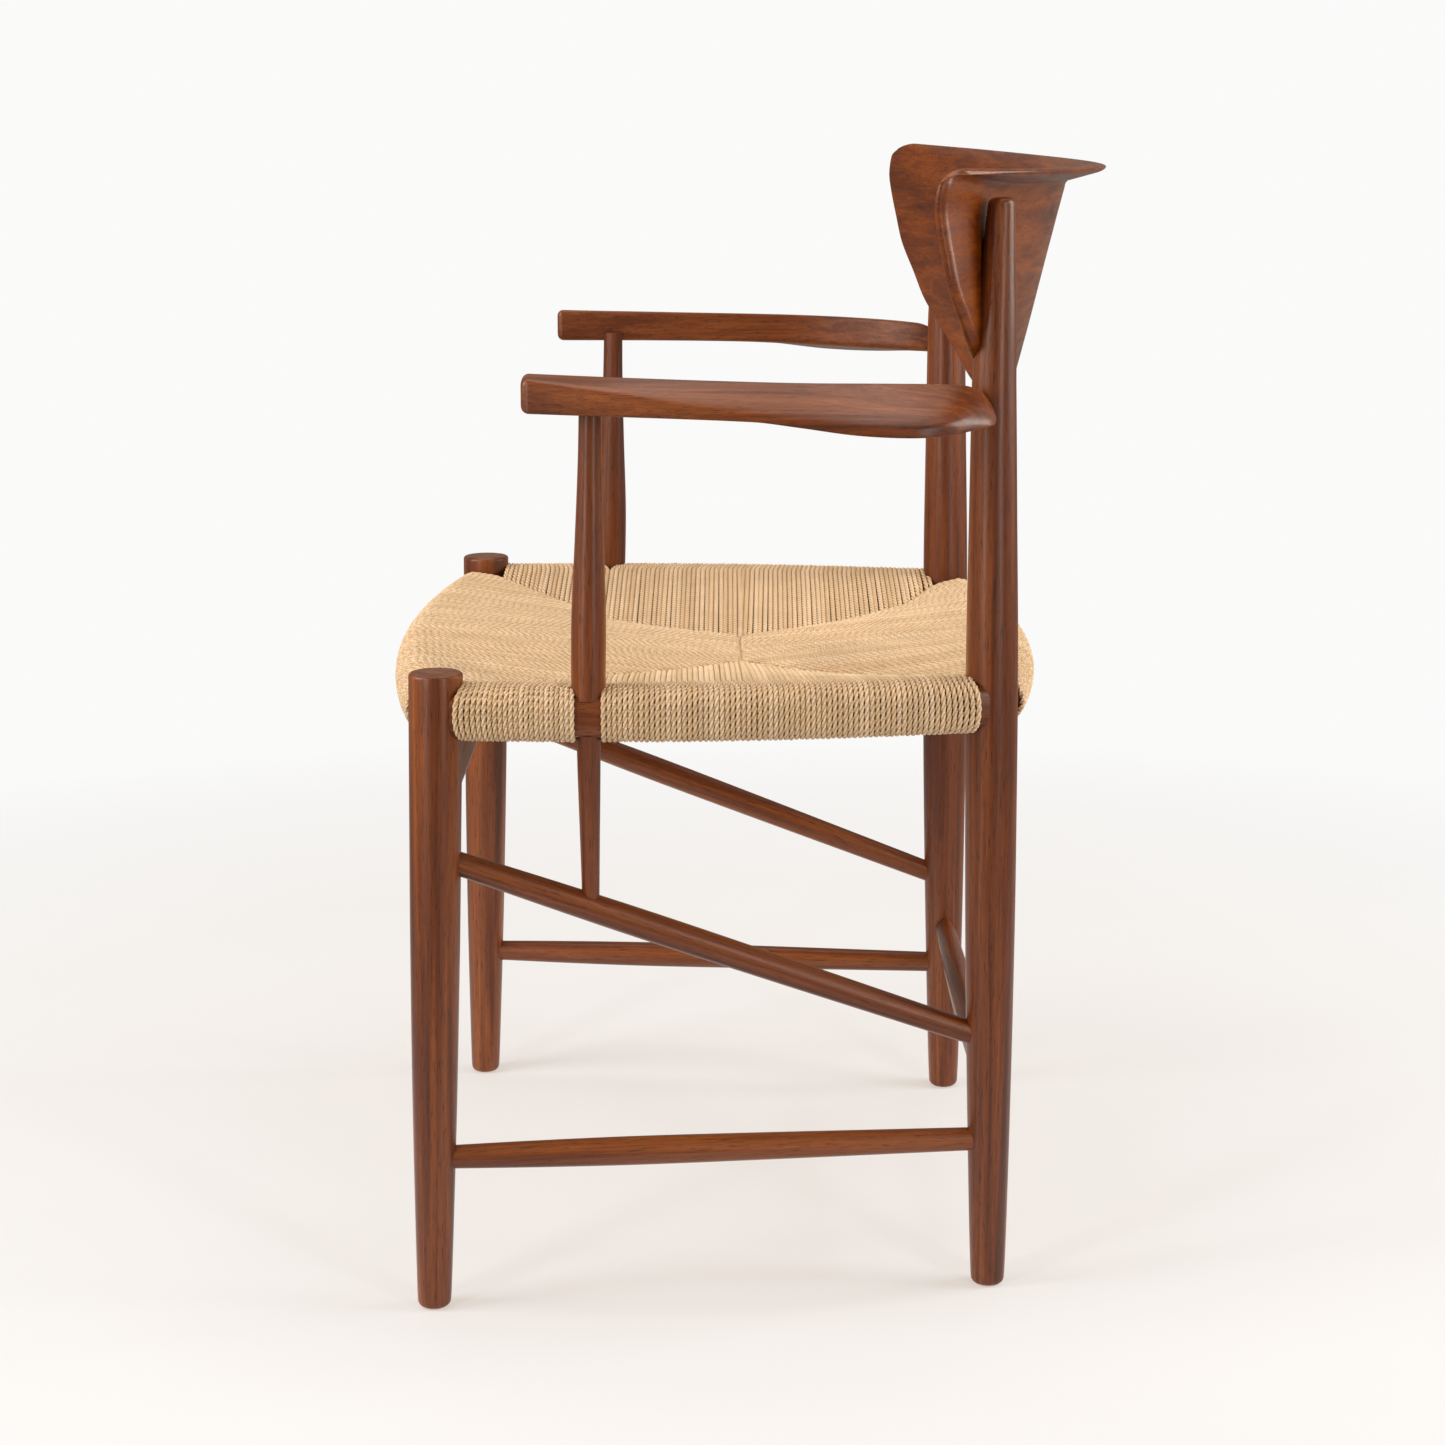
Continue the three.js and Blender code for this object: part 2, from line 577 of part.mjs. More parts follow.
function seatBody() {
  const stations = 48;
  const top = RAIL_TOP + CORD;
  const foot = RAIL_FOOT - CORD;
  const middle = (top + foot) / 2;
  const dished = top - SEAT_DISH;
  // Each ring: distance inward from the outline (or a share of the way to the centre) and height.
  const rings = [
    { share: 0.94, z: foot + 2 }, { share: 0.5, z: foot + 2.2 }, { inset: 14, z: foot },
    { inset: 6, z: foot + 2 }, { inset: 0.8, z: foot + 8 }, { inset: 0, z: middle },
    { inset: 0.8, z: top - 8 }, { inset: 6, z: top - 2 }, { inset: 14, z: top },
    { inset: 28, z: top - 1.5 }, { inset: 65, z: top - 11 }, { inset: 110, z: dished + 1.5 },
    { share: 0.7, z: dished - 0.2 }, { share: 0.94, z: dished },
  ];
  const outline = Array.from({ length: stations }, (_, i) => seatOutline((i / stations) * 2 * Math.PI));
  return loft(rings.map(({ share, inset, z }) => outline.map((point) => {
    const scale = share === undefined ? 1 - inset / point.length() : 1 - share;
    return new THREE.Vector3(point.x * scale, point.y * scale, z);
  })));
}

// What the weave leaves free on the left side: the leg corners and the strip at the arm post.
function seatReliefs() {
  const [postX, postY] = ARM_POST.rail;
  const low = RAIL_FOOT - 20;
  const high = RAIL_TOP + 20;
  return [
    boxBetween([FRONT_CORNER[0], -260, low], [320, FRONT_CORNER[1], high]),
    boxBetween([REAR_CORNER[0], REAR_CORNER[1], low], [320, 260, high]),
    boxBetween(
      [postX - RAIL.width / 2 - CORD, postY - CORD_GAP_HALF, low],
      [320, postY + CORD_GAP_HALF, high],
    ),
    frontLegBody(1.5 * GAP),
    rearLegBody(1.5 * GAP),
    armPostBody(1.5 * GAP),
    spindleBody(GAP),
  ];
}

// ---------- Finished pieces ----------
const withMirror = (body) => [body, mirrored(body)];
const onBothSides = (bodies) => bodies.flatMap(withMirror);

const sideRailClear = bowedRail(sideRailPoint, GAP);
const frontLegClear = frontLegBody(GAP);
const rearLegClear = rearLegBody(GAP);

const frontLeg = cut(
  frontLegBody(),
  lowStretcher(GAP), diagonalStretcher(GAP), frontStretcher(GAP), sideFrontTenon(GAP), frontTenon(GAP),
);
const rearLeg = cut(
  rearLegBody(),
  lowStretcher(GAP), diagonalStretcher(GAP), rearStretcher(GAP), sideRearTenon(GAP), rearTenon(GAP),
  ...withMirror(backrestBody(GAP)),
  ...BACK_SCREW_HEIGHTS.flatMap((z) => [backScrew(z, GAP), plugHole(z, GAP)]),
);
const sideRail = cut(
  join(
    cut(bowedRail(sideRailPoint, 0), frontLegClear, rearLegClear),
    sideFrontTenon(), sideRearTenon(),
  ),
  armPostPeg(GAP), spindlePeg(GAP),
);
const frontRail = join(
  cut(bowedRail(frontRailPoint, 0), ...withMirror(frontLegClear)),
  ...withMirror(frontTenon()),
);
const rearRail = join(
  cut(bowedRail(rearRailPoint, 0), ...withMirror(rearLegClear)),
  ...withMirror(rearTenon()),
);
const diagonal = cut(diagonalStretcher(), spindleBody(GAP));
const armPost = join(cut(armPostBody(), sideRailClear), armPostPeg());
const spindle = join(cut(spindleBody(), sideRailClear), spindlePeg());
const armrest = cut(armrestBody(), armPostBody(GAP), rearLegClear);
const backrest = cut(
  backrestBody(),
  ...onBothSides(BACK_SCREW_HEIGHTS.map((z) => backScrew(z, GAP))),
);
const seat = cut(
  seatBody(),
  bowedRail(frontRailPoint, GAP), bowedRail(rearRailPoint, GAP),
  ...onBothSides([sideRailClear, ...seatReliefs()]),
);

// ---------- Scene ----------
const finish = (color, roughness, metalness = 0) => (
  new THREE.MeshStandardMaterial({ color, roughness, metalness })
);
const frameWood = finish(0x5a2f1c, 0.45);
const backWood = finish(0x6b3516, 0.42);
const plugWood = finish(0x3d2115, 0.5);
const cord = finish(0xd9b27a, 0.85);
const steel = finish(0x8f8f8c, 0.35, 1);

const chair = new THREE.Group();

function place(name, body, material) {
  const mesh = new THREE.Mesh(geometryOf(body), material);
  mesh.name = name;
  chair.add(mesh);
}

function placePair(name, body, material) {
  place(`${name}_left`, body, material);
  place(`${name}_right`, mirrored(body), material);
}

placePair('front_leg', frontLeg, frameWood);
placePair('rear_leg', rearLeg, frameWood);
place('front_rail', frontRail, frameWood);
place('rear_rail', rearRail, frameWood);
placePair('side_rail', sideRail, frameWood);
placePair('low_stretcher', lowStretcher(), frameWood);
placePair('diagonal_stretcher', diagonal, frameWood);
place('front_stretcher', frontStretcher(), frameWood);
place('rear_stretcher', rearStretcher(), frameWood);
placePair('arm_post', armPost, frameWood);
placePair('spindle', spindle, frameWood);
placePair('armrest', armrest, frameWood);
place('backrest', backrest, backWood);
BACK_SCREW_HEIGHTS.forEach((z, i) => {
  const level = i === 0 ? 'lower' : 'upper';
  placePair(`back_screw_${level}`, backScrew(z), steel);
  placePair(`back_plug_${level}`, backPlug(z), plugWood);
});
place('woven_seat', seat, cord);

// The origin lies on the floor in the middle of the chair's box.
const box = new THREE.Box3().setFromObject(chair);
chair.position.y = -(box.min.y + box.max.y) / 2;

export default chair;
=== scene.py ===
import json
import math

import bpy
import numpy as np
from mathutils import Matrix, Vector


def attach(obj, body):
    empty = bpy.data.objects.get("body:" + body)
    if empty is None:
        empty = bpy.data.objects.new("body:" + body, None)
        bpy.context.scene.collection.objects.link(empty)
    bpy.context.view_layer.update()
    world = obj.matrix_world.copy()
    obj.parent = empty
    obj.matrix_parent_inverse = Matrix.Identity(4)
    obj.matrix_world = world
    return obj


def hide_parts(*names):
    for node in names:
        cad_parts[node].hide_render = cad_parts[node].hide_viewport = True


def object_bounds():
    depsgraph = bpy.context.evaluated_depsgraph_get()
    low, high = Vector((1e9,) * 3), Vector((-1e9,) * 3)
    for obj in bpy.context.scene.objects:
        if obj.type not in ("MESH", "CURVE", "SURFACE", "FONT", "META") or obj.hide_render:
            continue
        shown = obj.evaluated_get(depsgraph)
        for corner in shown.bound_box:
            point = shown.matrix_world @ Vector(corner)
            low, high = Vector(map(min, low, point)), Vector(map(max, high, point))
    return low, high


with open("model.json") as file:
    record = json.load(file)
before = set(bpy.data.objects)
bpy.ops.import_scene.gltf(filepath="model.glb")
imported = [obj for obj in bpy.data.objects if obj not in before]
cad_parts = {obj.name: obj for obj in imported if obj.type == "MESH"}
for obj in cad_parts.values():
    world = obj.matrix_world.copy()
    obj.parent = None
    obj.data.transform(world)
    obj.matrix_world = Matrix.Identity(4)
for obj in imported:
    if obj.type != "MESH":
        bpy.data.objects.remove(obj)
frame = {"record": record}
CAD_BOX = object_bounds()

# A turned wooden armchair with a woven cord seat. Shapes are worked out in millimetres and
# written to the meshes in metres. The chair faces -Y, and its left side is on +X.
MM = 0.001

# ---------- Places taken from the frame ----------
FEET = {mount["name"]: mount["pos_m"] for mount in frame["record"]["mounts"]}
# Y of the line halfway between the front and rear feet, from which the lengths below are measured.
DATUM_Y = (FEET["front_left_foot"][1] + FEET["rear_left_foot"][1]) / 2 / MM

# ---------- Driving dimensions, as in the CAD ----------
# Plan points are (x, y) and tables are (height or share of the length, value) unless said otherwise.
FRONT_LEG = {"foot": (260, -194), "top": (247.5, -186), "height": 446}
REAR_LEG = {"foot": (219, 194), "waist": (219.5, 187.5), "top": (219.5, 190.5), "height": 759}
REAR_WAIST = 640
FRONT_LEG_RADII = [(0, 11.6), (60, 13.3), (150, 15.4), (260, 17.0), (340, 17.6), (446, 18.3)]
REAR_LEG_RADII = [
    (0, 11.8), (50, 13.3), (164, 15.7), (266, 17.2), (330, 17.6),
    (449, 17.7), (544, 16.3), (645, 14.7), (680, 13.6), (724, 10.9), (759, 9.0),
]
LEG_FOOT_ROUND = 5
FRONT_LEG_TOP_ROUND = 2.2
REAR_LEG_TOP_ROUND = 4.5

ROD_RADII = [(0, 7.9), (0.18, 9.3), (0.36, 10.0), (0.6, 9.5), (0.82, 8.7), (1, 8.0)]
CROSS_RADII = [(0, 7.4), (0.25, 9.2), (0.5, 9.9), (0.75, 9.2), (1, 7.4)]
LOW_STRETCHER_Z = 107
DIAGONAL_FRONT_Z = 320
DIAGONAL_REAR_Z = 180
FRONT_STRETCHER_Z = 345
REAR_STRETCHER_Z = 141
SOCKET_DEPTH = 11
# Radii of the legs where each stretcher starts and ends.
LOW_STRETCHER_LEGS = (14.5, 14.7)
DIAGONAL_LEGS = (17.5, 16)
FRONT_STRETCHER_LEGS = (17.6, 17.6)
REAR_STRETCHER_LEGS = (15.3, 15.3)

# Rail axes: a half length or two ends in plan, and how far the middle is bowed out.
FRONT_RAIL = {"half_length": 248, "end_y": -191.5, "middle_y": -217}
REAR_RAIL = {"half_length": 219, "end_y": 196, "middle_y": 221}
SIDE_RAIL = {"front": (251, -187), "rear": (225, 189), "bow": 17.5}
RAIL_WIDTH = 22
RAIL_HEIGHT = 29.6
SIDE_RAIL_ROUND = 8
# The end rails are hidden by cord, and drawn slimmer so that the cord can turn over them softly.
END_RAIL_ROUND = 8.9
END_RAIL_INSET = 2
RAIL_Z = 419.2
RAIL_TOP = RAIL_Z + RAIL_HEIGHT / 2
RAIL_FOOT = RAIL_Z - RAIL_HEIGHT / 2

ARM_POST = {"rail": (258, -83.5), "arm": (257, -80.5), "top": 628}
ARM_POST_RADII = [(0, 11.3), (0.14, 11.7), (0.3, 11.5), (0.55, 9.6), (0.8, 8.0), (1, 7.5)]
ARM_POST_SINK = 4
SPINDLE_RADII = [(0, 5.9), (0.35, 6.7), (0.75, 7.7), (1, 8.1)]
SPINDLE_FOOT_RISE = 4
SPINDLE_TOP_SINK = 2.2

# Armrest: the four edges of its section as (y, value) tables from front to rear.
ARM_FRONT = -125.5
ARM_REAR = 187.5
ARM_INNER_X = [(-127, 248), (-50, 259), (25, 265), (70, 264), (120, 252), (160, 238), (187.5, 231)]
ARM_INNER_TOP = [
    (-127, 647), (-50, 645.7), (60, 643.3), (120, 641.3), (165, 638.5), (174, 636), (181, 631),
    (187.5, 620),
]
ARM_INNER_FOOT = [(-127, 622), (20, 619.5), (107, 616.5), (187.5, 614)]
ARM_OUTER_X = [
    (-127, 271), (-50, 283), (25, 292), (95, 300), (130, 299), (148, 294), (159, 287), (168, 278),
    (177, 268), (184.5, 258), (187.5, 246),
]
ARM_OUTER_TOP = [
    (-127, 645.5), (-50, 634.5), (-5, 627.5), (50, 621), (95, 618), (130, 618), (165, 620),
    (187.5, 617.5),
]
ARM_OUTER_FOOT = [(-127, 622), (25, 618.8), (55, 615.5), (95, 610.5), (140, 609), (187.5, 613)]

ARM_EDGE_ROUND = 4.5
ARM_LOWER_EDGE_ROUND = 3
# The roll of the outer face into the top grows between these two places along the arm.
ARM_ROLL_Y = (-60, 60)
ARM_ROLL = (5.5, 15)
ARM_FRONT_ROUND = 5
ARM_REAR_ROUND = 3

# Backrest shell: an upright wall whose wings come forward, and a lip turned out behind its top.
BACK_THICKNESS = 8
BACK_BOTTOM_Z = 594
BACK_FOOT_Y = 212
BACK_LEAN = 0.26
WING_SLOPE = 0.67
# Shares of the run up the shell: where the wall ends, and how much the edge of the lip is eased.
BACK_WALL_SHARE = 0.84
BACK_EDGE_SHARE = 0.03
# Radius of the bend in plan and half the width, both by height.
BACK_BEND = [(620, 212), (660, 198), (700, 149), (745, 108), (770, 104)]
BACK_HALF_WIDTH = [
    (615, 130), (630, 167), (645, 202), (660, 231), (680, 249), (700, 260), (720, 264), (745, 268),
    (774, 273),
]
# How much the top corners stand above the middle, and their rounding across and up.
CORNER_RISE = 6.5
CORNER_ROUND = (18, 10.5)
# The lip: how far it reaches behind the wall by distance from the middle, the heights of its
# upper and lower edge, the slope of its underside and the easing below and in front of it.
LIP_REACH = [(0, 31.5), (120, 29.5), (190, 25), (237, 13), (271, 1)]
LIP_TOP_Z = 774
LIP_UNDER_Z = 770
LIP_EDGE_Z = (LIP_TOP_Z + LIP_UNDER_Z) / 2
LIP_UNDER_SLOPE = 0.27
LIP_FILLET = 6
LIP_FILLET_SHARE = 0.3
LIP_FRONT_RISE = 10

PLUG_HEIGHTS = {"lower": 664, "upper": 696}
PLUG_RADIUS = 4.5
PLUG_LENGTH = 4.0

# The weave, for half the seat. Wraps run from each corner to the end of the centre ridge.
CORD_RADIUS = 1.75
CORD_STAND = CORD_RADIUS + 0.1
CORD_LAY = 16
CORD_STEP = 2.2
# How far the wraps of a rail bow upward behind it, sit down on it and turn over its outer edges.
SIDE_SHAPE = {"lift": 3, "drop": 0, "turn": 9.9}
FRONT_SHAPE = {"lift": 0, "drop": 1.5, "turn": 15.5}
REAR_SHAPE = {"lift": 0, "drop": 2.6, "turn": 15.5}
FRONT_WRAPS = 52
REAR_WRAPS = 41
RIDGE_WRAPS = 14
# Where the first wrap beside each leg lies on its rail, and how far it is pushed to the leg.
FRONT_START_X = 228
REAR_START_X = 200
SIDE_START_Y = -167
SIDE_END_Y = 174
FRONT_SQUEEZE = -6
REAR_SQUEEZE = 5
SIDE_SQUEEZE = 6
# Side wraps in front of the arm post, and the half width of the bare strip around it.
WRAPS_BEFORE_POST = 23
POST_GAP = 10.6
# The front and rear wraps stop short of the seam and the side wraps reach over it.
SEAM_OVERLAP = 1.2
# The seams on the upper face as (x, y, height), from a corner in to the end of the ridge.
FRONT_SEAM = [(222, -169, 433), (167, -122, 424.5), (110, -74, 417), (81, -27, 415.5), (52, 21, 416)]
REAR_SEAM = [(197, 176, 430), (147, 150, 423), (110, 100, 417), (82, 60, 415.5), (52, 21, 416)]
RIDGE_END = (52, 21)
RIDGE_Z = 416.0
RIDGE_CLEARANCE = 1.8
# Height of the seam on the underside, and how much lower it lies for the short corner wraps.
SEAM_FOOT_Z = 405.5
SHORT_WRAP = 60
SHORT_WRAP_DROP = 2.5
# The pad of crossing cords between the two faces.
PAD_CENTRE = (0, 5)
PAD_INSET = 8
PAD_RINGS = ((0.99, 408.0), (1, 408.8), (1, 410.2), (0.99, 411.0))

SIDES = ((1, "left"), (-1, "right"))
SHARP_ANGLE = math.radians(40)
RANDOM = np.random.default_rng(7)


# ---------- Small tools ----------
def smooth(pairs):
    """A smooth curve through (position, value) pairs, held constant past both ends."""
    at, value = np.array(pairs, float).T
    slope = np.zeros(len(at))
    slope[1:-1] = (value[2:] - value[:-2]) / (at[2:] - at[:-2])
    slope[0] = (value[1] - value[0]) / (at[1] - at[0])
    slope[-1] = (value[-1] - value[-2]) / (at[-1] - at[-2])

    def curve(x):
        x = np.clip(x, at[0], at[-1])
        i = np.clip(np.searchsorted(at, x, side="right") - 1, 0, len(at) - 2)
        span = at[i + 1] - at[i]
        t = (x - at[i]) / span
        rise = value[i + 1] - value[i]
        a = slope[i] * span - rise
        b = rise - slope[i + 1] * span
        return value[i] + t * rise + t * (1 - t) * ((1 - t) * a + t * b)

    return curve


def unit(vector):
    """The vector at length one."""
    return vector / np.linalg.norm(vector)


def unit_rows(rows):
    """Each row at length one."""
    return rows / np.linalg.norm(rows, axis=-1, keepdims=True)


def lerp(a, b, share):
    """The value a given share of the way from a to b."""
    return a + (b - a) * share


def skin_faces(rings, around, first=0):
    """Quads over a tube of rings with the given number of points around."""
    ring, point = np.meshgrid(np.arange(rings - 1), np.arange(around), indexing="ij")
    ahead = (point + 1) % around
    quads = np.stack([
        ring * around + point, ring * around + ahead,
        (ring + 1) * around + ahead, (ring + 1) * around + point,
    ], axis=-1)
    return quads.reshape(-1, 4) + first


def write_mesh(name, points, quads, caps, grain=None, values=None):
    """A shown object from points in millimetres, quads, and end caps as rows of point numbers.

    grain holds the wood coordinates of the points, and values further numbers for the materials.
    """
    loops = [quads.ravel()] + [np.asarray(cap) for cap in caps]
    sizes = np.concatenate([np.full(len(quads), 4)] + [[len(cap)] for cap in caps]).astype(int)
    starts = np.concatenate([[0], np.cumsum(sizes)[:-1]])
    mesh = bpy.data.meshes.new(name)
    placed = (points + [0, DATUM_Y, 0]) * MM
    mesh.vertices.add(len(placed))
    mesh.vertices.foreach_set("co", placed.ravel())
    mesh.loops.add(int(sizes.sum()))
    mesh.loops.foreach_set("vertex_index", np.concatenate(loops).astype(np.int32))
    mesh.polygons.add(len(sizes))
    mesh.polygons.foreach_set("loop_start", starts.astype(np.int32))
    mesh.polygons.foreach_set("use_smooth", np.ones(len(sizes), bool))
    if grain is not None:
        layer = mesh.attributes.new("grain", "FLOAT_VECTOR", "POINT")
        layer.data.foreach_set("vector", (grain * MM).astype(np.float32).ravel())
    for key, numbers in (values or {}).items():
        layer = mesh.attributes.new(key, "FLOAT", "POINT")
        layer.data.foreach_set("value", numbers.astype(np.float32))
    mesh.update(calc_edges=True)
    mesh.validate()
    mesh.set_sharp_from_angle(angle=SHARP_ANGLE)
    piece = bpy.data.objects.new(name, mesh)
    bpy.context.scene.collection.objects.link(piece)
    return piece


def finish_piece(piece, material, node):
    """Gives a new piece its material and its body, and hides the CAD node that it stands for."""
    piece.data.materials.append(material)
    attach(piece, "root")
    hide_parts(node)


def loft(name, rings, grain=None):
    """A closed body through rings of points (ring, point, xyz), capped at both ends."""
    count, around = rings.shape[:2]
    points = rings.reshape(-1, 3)
    travel = rings[-1].mean(axis=0) - rings[0].mean(axis=0)
    spokes = rings[0] - rings[0].mean(axis=0)
    area = np.cross(spokes, np.roll(spokes, -1, axis=0))
    quads = skin_faces(count, around)
    start = np.arange(around)[::-1]
    end = np.arange(around) + (count - 1) * around
    if area.sum(axis=0) @ travel < 0:
        quads = quads[:, ::-1]
        start = start[::-1]
        end = end[::-1]
    if grain is not None:
        grain = grain.reshape(-1, 3)
    return write_mesh(name, points, quads, (start, end), grain)


def mirrored(rings, side):
    """The rings on the left side, or their mirror image on the right."""
    return rings * [side, 1, 1]


# ---------- Turned pieces ----------
def rounded_profile(length, radius_at, foot_round, top_round, rings=70, arc=7):
    """Distances along a turned piece and its radii, with both ends rounded over."""
    turn = np.linspace(0, math.pi / 2, arc)
    foot = [
        (foot_round * (1 - math.cos(t)), radius_at(0) - foot_round * (1 - math.sin(t)))
        for t in turn
    ]
    top = [
        (length - top_round * (1 - math.cos(t)), radius_at(length) - top_round * (1 - math.sin(t)))
        for t in turn[::-1]
    ]
    body = [(z, radius_at(z)) for z in np.linspace(foot_round, length - top_round, rings)[1:-1]]
    return np.array(foot + body + top)


def upright_rings(profile, centre_at, around=72):
    """Level rings about a centre that moves with height."""
    angle = np.linspace(0, 2 * math.pi, around, endpoint=False)
    height, radius = profile.T
    x, y = centre_at(height)
    rings = np.empty((len(height), around, 3))
    rings[..., 0] = x[:, None] + radius[:, None] * np.cos(angle)
    rings[..., 1] = y[:, None] + radius[:, None] * np.sin(angle)
    rings[..., 2] = height[:, None]
    return rings


def rod_rings(start, end, radii, around=48, rings=50):
    """Rings square to a straight line between two points; radii go by the share of the length."""
    start = np.array(start, float)
    end = np.array(end, float)
    direction = unit(end - start)
    other = np.array([0, 0, 1]) if abs(direction[2]) < 0.9 else np.array([0, 1, 0])
    side = unit(np.cross(other, direction))
    up = np.cross(direction, side)
    share = np.linspace(0, 1, rings)
    angle = np.linspace(0, 2 * math.pi, around, endpoint=False)
    circle = np.cos(angle)[:, None] * side + np.sin(angle)[:, None] * up
    centre = start + share[:, None] * (end - start)
    return centre[:, None] + smooth(radii)(share)[:, None, None] * circle


def lengthwise_grain(rings, phase):
    """Wood coordinates for a straight stick: across, across, along, shifted by a phase per piece."""
    start = rings[0].mean(axis=0)
    along = unit(rings[-1].mean(axis=0) - start)
    other = np.array([0, 1, 0]) if abs(along[1]) < 0.7 else np.array([1, 0, 0])
    side = unit(np.cross(other, along))
    up = np.cross(along, side)
    relative = rings - start
    return np.stack([relative @ side, relative @ up, relative @ along], axis=-1) + phase


def grain_phase():
    """A random place in the tree for one piece, in millimetres."""
    return RANDOM.uniform(-400, 400, 3) * [0.3, 0.3, 4]


def turned(name, rings, material, node):
    """A piece of the frame with its grain running lengthwise."""
    piece = loft(name, rings, lengthwise_grain(rings, grain_phase()))
    finish_piece(piece, material, node)


def front_leg_centre(z):
    """The front leg's axis at a height, in plan."""
    share = np.asarray(z) / FRONT_LEG["height"]
    return tuple(lerp(FRONT_LEG["foot"][k], FRONT_LEG["top"][k], share) for k in (0, 1))


def rear_leg_centre(z):
    """The rear post stands upright to its waist and then leans back."""
    z = np.asarray(z, float)
    lower = z / REAR_WAIST
    upper = np.clip((z - REAR_WAIST) / (REAR_LEG["height"] - REAR_WAIST), 0, 1)
    parts = []
    for k in (0, 1):
        straight = lerp(REAR_LEG["foot"][k], REAR_LEG["waist"][k], np.minimum(lower, 1))
        parts.append(straight + (REAR_LEG["top"][k] - REAR_LEG["waist"][k]) * upper ** 1.3)
    return tuple(parts)


def front_at(z, side=1):
    """The point on a front leg's axis at a height."""
    x, y = front_leg_centre(z)
    return np.array([side * x, y, z])


def rear_at(z, side=1):
    """The point on a rear leg's axis at a height."""
    x, y = rear_leg_centre(z)
    return np.array([side * x, y, z])


def stretcher_rings(start, end, leg_radii, radii):
    """A rod between two leg axes, stopped in its sockets short of each axis."""
    direction = unit(end - start)
    first = start + direction * (leg_radii[0] - SOCKET_DEPTH)
    last = end - direction * (leg_radii[1] - SOCKET_DEPTH)
    return rod_rings(first, last, radii)


def make_legs(material):
    """The four legs, with eased feet and tops."""
    front = rounded_profile(
        FRONT_LEG["height"], smooth(FRONT_LEG_RADII), LEG_FOOT_ROUND, FRONT_LEG_TOP_ROUND)
    rear = rounded_profile(
        REAR_LEG["height"], smooth(REAR_LEG_RADII), LEG_FOOT_ROUND, REAR_LEG_TOP_ROUND)
    for side, word in SIDES:
        rings = mirrored(upright_rings(front, front_leg_centre), side)
        turned(f"front_leg_{word}_turned", rings, material, f"front_leg_{word}")
        rings = mirrored(upright_rings(rear, rear_leg_centre), side)
        turned(f"rear_leg_{word}_turned", rings, material, f"rear_leg_{word}")


def make_stretchers(material):
    """Low and slanted side stretchers, and one across in front and behind."""
    low = stretcher_rings(
        front_at(LOW_STRETCHER_Z), rear_at(LOW_STRETCHER_Z), LOW_STRETCHER_LEGS, ROD_RADII)
    slanted = stretcher_rings(
        front_at(DIAGONAL_FRONT_Z), rear_at(DIAGONAL_REAR_Z), DIAGONAL_LEGS, ROD_RADII)
    for side, word in SIDES:
        turned(f"low_stretcher_{word}_turned", mirrored(low, side), material, f"low_stretcher_{word}")
        turned(f"diagonal_stretcher_{word}_turned", mirrored(slanted, side), material,
               f"diagonal_stretcher_{word}")
    z = FRONT_STRETCHER_Z
    front = stretcher_rings(front_at(z, -1), front_at(z), FRONT_STRETCHER_LEGS, CROSS_RADII)
    turned("front_stretcher_turned", front, material, "front_stretcher")
    z = REAR_STRETCHER_Z
    rear = stretcher_rings(rear_at(z, -1), rear_at(z), REAR_STRETCHER_LEGS, CROSS_RADII)
    turned("rear_stretcher_turned", rear, material, "rear_stretcher")


# ---------- Seat rails ----------
def bowed(share, end, middle):
    """A shallow bow that leaves a straight line by most in its middle."""
    return end + (middle - end) * 4 * share * (1 - share)


def front_rail_point(share):
    """The front rail's axis in plan, from right to left."""
    half = FRONT_RAIL["half_length"]
    y = bowed(share, FRONT_RAIL["end_y"], FRONT_RAIL["middle_y"])
    return np.stack([lerp(-half, half, share), y], axis=-1)


def rear_rail_point(share):
    """The rear rail's axis in plan, from left to right."""
    half = REAR_RAIL["half_length"]
    y = bowed(share, REAR_RAIL["end_y"], REAR_RAIL["middle_y"])
    return np.stack([lerp(half, -half, share), y], axis=-1)


def side_rail_point(share):
    """The left side rail's axis in plan, from front to rear."""
    straight = lerp(SIDE_RAIL["front"][0], SIDE_RAIL["rear"][0], share)
    x = bowed(share, straight, straight + SIDE_RAIL["bow"])
    return np.stack([x, lerp(SIDE_RAIL["front"][1], SIDE_RAIL["rear"][1], share)], axis=-1)


def normal_at(point_at, share):
    """The outward direction of a rail in plan, not yet at length one."""
    ahead = point_at(share + 0.01) - point_at(share - 0.01)
    return np.stack([ahead[..., 1], -ahead[..., 0]], axis=-1)


def rail_rings(point_at, radius, inset=0, steps=48, corner=8):
    """A rounded rectangular bar along a level curve, inset when cords hide it."""
    half_width = RAIL_WIDTH / 2 - inset
    half_height = RAIL_HEIGHT / 2 - inset
    outline = []
    for quarter in range(4):
        right = 1 if quarter in (0, 3) else -1
        top = 1 if quarter < 2 else -1
        for angle in np.linspace(quarter, quarter + 1, corner) * math.pi / 2:
            outline.append((
                right * (half_width - radius) + radius * math.cos(angle),
                top * (half_height - radius) + radius * math.sin(angle),
            ))
    out, up = np.array(outline).T
    share = np.linspace(0, 1, steps)
    across = unit_rows(normal_at(point_at, share))
    rings = np.empty((steps, len(out), 3))
    rings[..., :2] = point_at(share)[:, None] + out[:, None] * across[:, None]
    rings[..., 2] = RAIL_Z + up
    return rings


